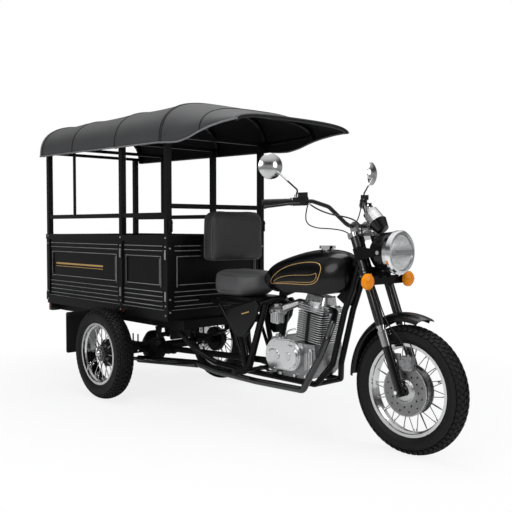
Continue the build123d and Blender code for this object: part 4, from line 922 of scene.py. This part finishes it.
# Handlebar and controls
# Black bar with ribbed rubber grips, black levers in alloy perches, chromed mirror shells with
# plane glass on thin stalks, and bright screws in the switch housings.
bar_paint = surface("bar_paint", 0.006, 0.2, grain=240.0, relief=0.006, coat=0.3)
plastic = surface("black_plastic", (0.008, 0.008, 0.009), 0.4, grain=500.0, relief=0.02, specular=0.3)
grip_rubber = surface("grip_rubber", 0.009, 0.55, grain=500.0, relief=0.04, specular=0.25)
dress(bar_paint, "handlebar", "control_levers")
dress(plastic, "switch_pods")
dress(grip_rubber, "grips", "mud_flaps")
mirror_bands = [(0.898, 0.01, 0.25, 0.3), (1.0, 0.62, 0.18, 1.0)]
dress(zoned("mirror_finish", Vector((0, 0, 0.5)), (0, 0, 1), mirror_bands, radial=False, grain=200.0,
            relief=0.002), "mirrors")
bar_in, bar_out = at(1.640, 0.215, 1.292), at(1.470, 0.410, 1.284)
mirror_glass = surface("mirror_glass", (0.85, 0.87, 0.88), 0.03, metal=1.0, grain=40.0, tone=0.02, relief=0.0,
                       spread=0.01)
toe = math.radians(20.0)
for label, side in (("right", -1), ("left", 1)):
    flip = Vector((1.0, side, 1.0))
    inner, outer = bar_in * flip, bar_out * flip
    way = (outer - inner).normalized()
    shape = bmesh.new()
    for count in range(20):
        place = inner.lerp(outer, 0.47 + 0.51 * count / 19)
        stud(shape, place - way * 0.0016, way, 0.0178, 0.0032, sides=24)
    stud(shape, outer + way * 0.003, way, 0.0195, 0.006, sides=24, tip=0.016)
    finished(f"grip_ribs_{label}", shape, grip_rubber, "steering")
    shape = bmesh.new()
    face = at(1.535, 0.420 * side, 1.472)
    out = Vector((math.cos(toe), math.sin(toe) * side, 0.0))
    stud(shape, face - out * 0.008, -out, 0.064, 0.0015, sides=48, tip=0.062)
    finished(f"mirror_glass_{label}", shape, mirror_glass, "steering")
    shape = bmesh.new()
    for share in (0.10, 0.20, 0.30):
        place = inner.lerp(outer, share) + Vector((0.0, 0.0, 0.021))
        stud(shape, place, upward, 0.004, 0.003, sides=12)
    stud(shape, inner.lerp(outer, 0.34) + Vector((0.0, 0.0, 0.024)), upward, 0.0085, 0.012)
    finished(f"pod_screws_{label}", shape, chrome, "steering")


# Control cables and brake hose
# Black sheathed cables leave the switch housings, loop ahead of the bar and run down beside the
# head tube; a rubber hose runs from the lower yoke to the front caliper.
sheath = surface("cable_sheath", 0.007, 0.4, grain=300.0, relief=0.02, specular=0.3)
# Corners of the left-hand cable, as its solid has them, and of the left-hand loop. The hose's are in
# the fork's frame
cable_route = [(0.9380, 0.2441, 1.2774), (0.9780, 0.1941, 1.2274), (1.1563, 0.0840, 1.1953),
               (1.1435, 0.0520, 1.0725), (1.1499, 0.0420, 1.0000), (1.1730, 0.0420, 0.9342)]
loop_route = [(0.905, 0.222, 1.268), (0.893, 0.226, 1.225), (0.880, 0.205, 1.172), (0.915, 0.165, 1.148),
              (0.975, 0.115, 1.146), (1.030, 0.070, 1.135), (1.062, 0.050, 1.110), (1.070, 0.046, 1.090)]
hose_route = [(0.0305, -0.084, 0.552), (0.036, -0.086, 0.500), (0.038, -0.086, 0.400), (0.046, -0.080, 0.330),
              (0.072, -0.068, 0.275), (0.088, -0.063, 0.210), (0.091, -0.055, 0.156)]


def flexible(name, route, radius, look):
    """Free cable on one smooth line."""
    made = smooth_line(name, route, radius, fine=12, rounds=4)
    made.data.materials.append(look)
    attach(made, "steering")
    return made


flexible("clutch_cable", cable_route, 0.004, sheath)
cable_right = flexible("throttle_cable", [(x, -y, z) for x, y, z in cable_route], 0.004, sheath)
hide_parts("control_cables")
flexible("loop_cable_left", loop_route, 0.0032, sheath)
flexible("loop_cable_right", [(x, -y, z) for x, y, z in loop_route], 0.0032, sheath)
flexible("brake_hose", [tuple(fork_place(*p)) for p in hose_route], 0.0035, sheath)
ends = bmesh.new()
for place in (cable_route[0], (cable_route[0][0], -cable_route[0][1], cable_route[0][2])):
    aim = Vector((0.04, -math.copysign(0.05, place[1]), -0.05)).normalized()
    stud(ends, Vector(place) - aim * 0.004, aim, 0.0062, 0.016, sides=12, tip=0.005)
stud(ends, fork_place(0.091, -0.055, 0.150), leg_way, 0.0062, 0.014, tip=0.005)
finished("cable_ends", ends, bright, "steering")


# Engine
# Cast and polished alloy: fins on barrel and head, smooth oval side covers held by round screws,
# a fluted float bowl under the carburettor and plated unions and bolts.
cast = surface("cast_alloy", (0.27, 0.27, 0.274), 0.34, metal=1.0, grain=140.0, tone=0.4, relief=0.03)
polished = surface("polished_alloy", (0.70, 0.70, 0.705), 0.22, metal=1.0, grain=60.0, tone=0.06,
                   relief=0.002, spread=0.07)
dress(cast, "crankcase", "brake_caliper")
dress(polished, "engine_covers")
barrel = at(1.476, 0.0, 0.500)
tilt = math.radians(8.0)
barrel_up = Vector((math.sin(tilt), 0.0, math.cos(tilt)))
barrel_ahead = Vector((math.cos(tilt), 0.0, -math.sin(tilt)))
# Painted shade: the barrel near its axis, down in the gaps between the fins, is painted near black and then
# dark grey; only the fins' outer part is alloy grey.
fin_painted_shade_bands = [(0.0695, 0.01, 0.5, 1.0), (0.088, 0.08, 0.42, 1.0), (0.400, 0.60, 0.26, 1.0)]
dress(zoned("fin_alloy_painted_shade", barrel, barrel_up, fin_painted_shade_bands, grain=400.0, relief=0.04), "cylinder")
dress(surface("head_alloy", (0.58, 0.58, 0.585), 0.28, metal=1.0, grain=70.0, tone=0.5, relief=0.03),
      "cylinder_head")
dress(surface("carburettor_alloy", 0.50, 0.3, metal=1.0, grain=300.0, tone=0.3, relief=0.04), "carburettor")

screws = bmesh.new()
for side, scale in ((-1, 1.0), (1, 0.88)):
    face, out = side * 0.1423, leftward * side
    for count in range(5):
        turn = math.radians(-78.0 + 39.0 * count)
        for station, height, reach in ((1.386, 0.426, 0.075), (1.290, 0.416, -0.078)):
            spot = at(station, face, height) + ring(reach * scale, turn)
            stud(screws, spot, out, 0.0048, 0.004, 14, 0.0040)
    stud(screws, at(1.394, side * 0.1523, 0.420), out, 0.024 * scale, 0.003, 40, 0.022 * scale)
    stud(screws, at(1.300, face, 0.412), out, 0.020 * scale, 0.004, 32, 0.018 * scale)
# Heights of the barrel's bolts are above its top joint: foot, thirteen fin pitches and a gap
fin_pitch, fin_count = 0.0127, 13
top = 0.014 + fin_pitch * fin_count + 0.0003
for reach, wide, rise, radius, height, tip in ((0.062, 0.040, 0.090, 0.0075, 0.007, 0.0065),
                                               (0.078, 0.070, 0.0335, 0.0085, 0.009, 0.0075)):
    for x in (-reach, reach):
        for y in (-wide, wide):
            spot = barrel + barrel_ahead * x + leftward * y + barrel_up * (top + rise)
            stud(screws, spot, barrel_up, radius, height, tip=tip)
stud(screws, at(1.250, -0.085, 0.5145), upward, 0.017, 0.014, 20, 0.015)
finished("engine_screws", screws, bright, "chassis")

bosses = bmesh.new()
for side in (-1, 1):
    face, out = side * 0.112, leftward * side
    for station, height in ((1.215, 0.350), (1.215, 0.450), (1.300, 0.510), (1.480, 0.482), (1.545, 0.470),
                            (1.552, 0.380), (1.505, 0.318), (1.420, 0.312), (1.310, 0.312)):
        stud(bosses, at(station, face, height), out, 0.011, 0.012, 16, 0.009)
        stud(bosses, at(station, face + side * 0.012, height), out, 0.006, 0.005)
    for count in range(5):
        place = at(1.500 + 0.012 * count, face + side * 0.003, 0.400 + 0.004 * count)
        brick(bosses, place, (0.004, 0.008, 0.095))
for count in range(7):
    brick(bosses, at(1.290 + 0.034 * count, 0.0, 0.3002), (0.006, 0.180, 0.010))
stud(bosses, at(1.400, 0.0, 0.300), -upward, 0.014, 0.008)
finished("crankcase_bosses", bosses, polished, "chassis")

rib = [at(1.268, -0.1425, 0.432) + Vector((0.036 * math.cos(t), 0.0, 0.016 * math.sin(t)))
       for t in (0.2, 0.7, 1.2, 1.8, 2.4, 2.9)]
tube_along("cover_rib", rib, 0.004, polished, "chassis")
breather = [at(*place) for place in ((1.330, -0.104, 0.512), (1.334, -0.104, 0.545), (1.362, -0.100, 0.566),
                                     (1.392, -0.085, 0.572))]
tube_along("breather_pipe", breather, 0.005, bright, "chassis")

flutes = bmesh.new()
bowl = at(1.208, -0.052, 0.592)
for count in range(20):
    turn = 2 * math.pi * count / 20
    spot = bowl + Vector((0.0375 * math.cos(turn), 0.0375 * math.sin(turn), 0.0))
    stud(flutes, spot, upward, 0.0034, 0.056, 8)
for rise, radius, height, sides in ((-0.012, 0.010, 0.008, 6), (0.1015, 0.0265, 0.006, 24),
                                    (0.056, 0.0415, 0.005, 32)):
    stud(flutes, bowl + upward * rise, upward, radius, height, sides)
for turn in (0.6, 2.2, 3.7, 5.3):
    spot = bowl + Vector((0.034 * math.cos(turn), 0.034 * math.sin(turn), 0.061))
    stud(flutes, spot, upward, 0.0042, 0.005, 10)
stud(flutes, at(1.208, -0.086, 0.664), -leftward, 0.008, 0.012, 10)
finished("carburettor_flutes", flutes, bright, "chassis")


# Exhaust
# Header and slim silencer in heat-proof black, with a plated clamp at the port.
dress(surface("pipe_black", 0.005, 0.2, grain=180.0, tone=0.4, relief=0.012, coat=0.5, specular=0.5),
      "exhaust")
collar = bmesh.new()
port = barrel + barrel_ahead * 0.106 - leftward * 0.030 + barrel_up * (top + 0.030)
stud(collar, port, barrel_ahead, 0.030, 0.006, 28)
for spread in (-1, 1):
    stud(collar, port + Vector((0.004, spread * 0.024, 0.0)), barrel_ahead, 0.005, 0.010)
finished("exhaust_collar", collar, bright, "chassis")


# Foot controls
# Black bars with ribbed rubber rests, and plated treads on the brake pedal and gear lever.
rests = bmesh.new()
rest_top = 0.3103
for side in (-1, 1):
    for count in range(9):
        stud(rests, at(1.118, side * (0.230 + 0.0098 * count), rest_top), leftward * side, 0.0198, 0.005, 20)
finished("foot_rubbers", rests, grip_rubber, "chassis")
treads = bmesh.new()
for count in range(5):
    brick(treads, at(1.268 + 0.0105 * count, -0.174, rest_top + 0.0145), (0.006, 0.040, 0.004))
stud(treads, at(1.282, 0.166, rest_top + 0.010), leftward, 0.0102, 0.029, 16)
finished("pedal_treads", treads, bright, "chassis")


# Chassis fixings
# Plated spring bolts and nuts, the threaded legs of the U-bolts, and grease caps with their bolts on
# the rear hubs.
fixings, straps = bmesh.new(), bmesh.new()
for side in (-1, 1):
    for end in (-0.380, 0.380):
        stud(fixings, at(end, side * 0.332, 0.452), leftward * side, 0.011, 0.008)
    for x in (-0.030, 0.030):
        for y in (0.258, 0.322):
            stud(fixings, at(x, side * y, 0.305), -upward, 0.009, 0.012)
        for y in (0.2545, 0.3255):
            stud(straps, at(x, side * y, 0.300), upward, 0.005, 0.112, 10)
finished("spring_bolts", fixings, bright, "chassis")
finished("spring_straps", straps, under_paint, "chassis")
for side, hub in rear_hubs.items():
    caps = bmesh.new()
    out = leftward * math.copysign(1.0, hub.y)
    stud(caps, hub + out * 0.044, out, 0.021, 0.010, 28, 0.016)
    for count in range(5):
        stud(caps, hub + out * 0.030 + ring(0.029, 2 * math.pi * count / 5), out, 0.0055, 0.008)
    finished(f"hub_cap_{side}", caps, bright, f"{side}_wheel_set")


# Rear lamps and reflectors
# Red ribbed lenses in black housings under the floor, and dark round reflectors in bright rims.
low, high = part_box("tail_lamps")
lamp_bands = [(0.010, (0.42, 0.006, 0.006), 0.2, 0.0), (1.0, 0.008, 0.4, 0.0)]
dress(zoned("tail_lamp_finish", (low.x, 0, 0), (1, 0, 0), lamp_bands, radial=False, coat=0.4), "tail_lamps")
red_glass = surface("red_ribs", (0.5, 0.010, 0.008), 0.2, grain=80.0, tone=0.1, relief=0.01, coat=0.4)
ribs = bmesh.new()
for side in (-1, 1):
    for count in range(6):
        place = (low.x - 0.0005, side * (0.328 + 0.012 * count), (low.z + high.z) / 2)
        brick(ribs, place, (0.003, 0.003, 0.048))
finished("tail_lens_ribs", ribs, red_glass, "chassis")
round_bands = [(0.011, (0.09, 0.012, 0.004), 0.2, 0.0), (0.400, 0.30, 0.2, 1.0)]
dress(zoned("reflector_finish", middle_of("side_reflectors"), across, round_bands, coat=0.3),
      "side_reflectors")


# Plain gold lines
# Thin plain painted lines on the long side panels and one on each side cover, laid on the paint.
lines = bmesh.new()
slope = Matrix.Rotation(math.radians(-16.0), 4, "Y")
for side in (-1, 1):
    for z, tall in ((0.879, 0.012), (0.858, 0.004)):
        brick(lines, at(-0.522, side * 0.4004, z), (0.680, 0.0012, tall))
    brick(lines, at(1.045, side * 0.1624, 0.640), (0.070, 0.001, 0.007), slope)
finished("plain_gold_lines", lines, gold, "chassis")
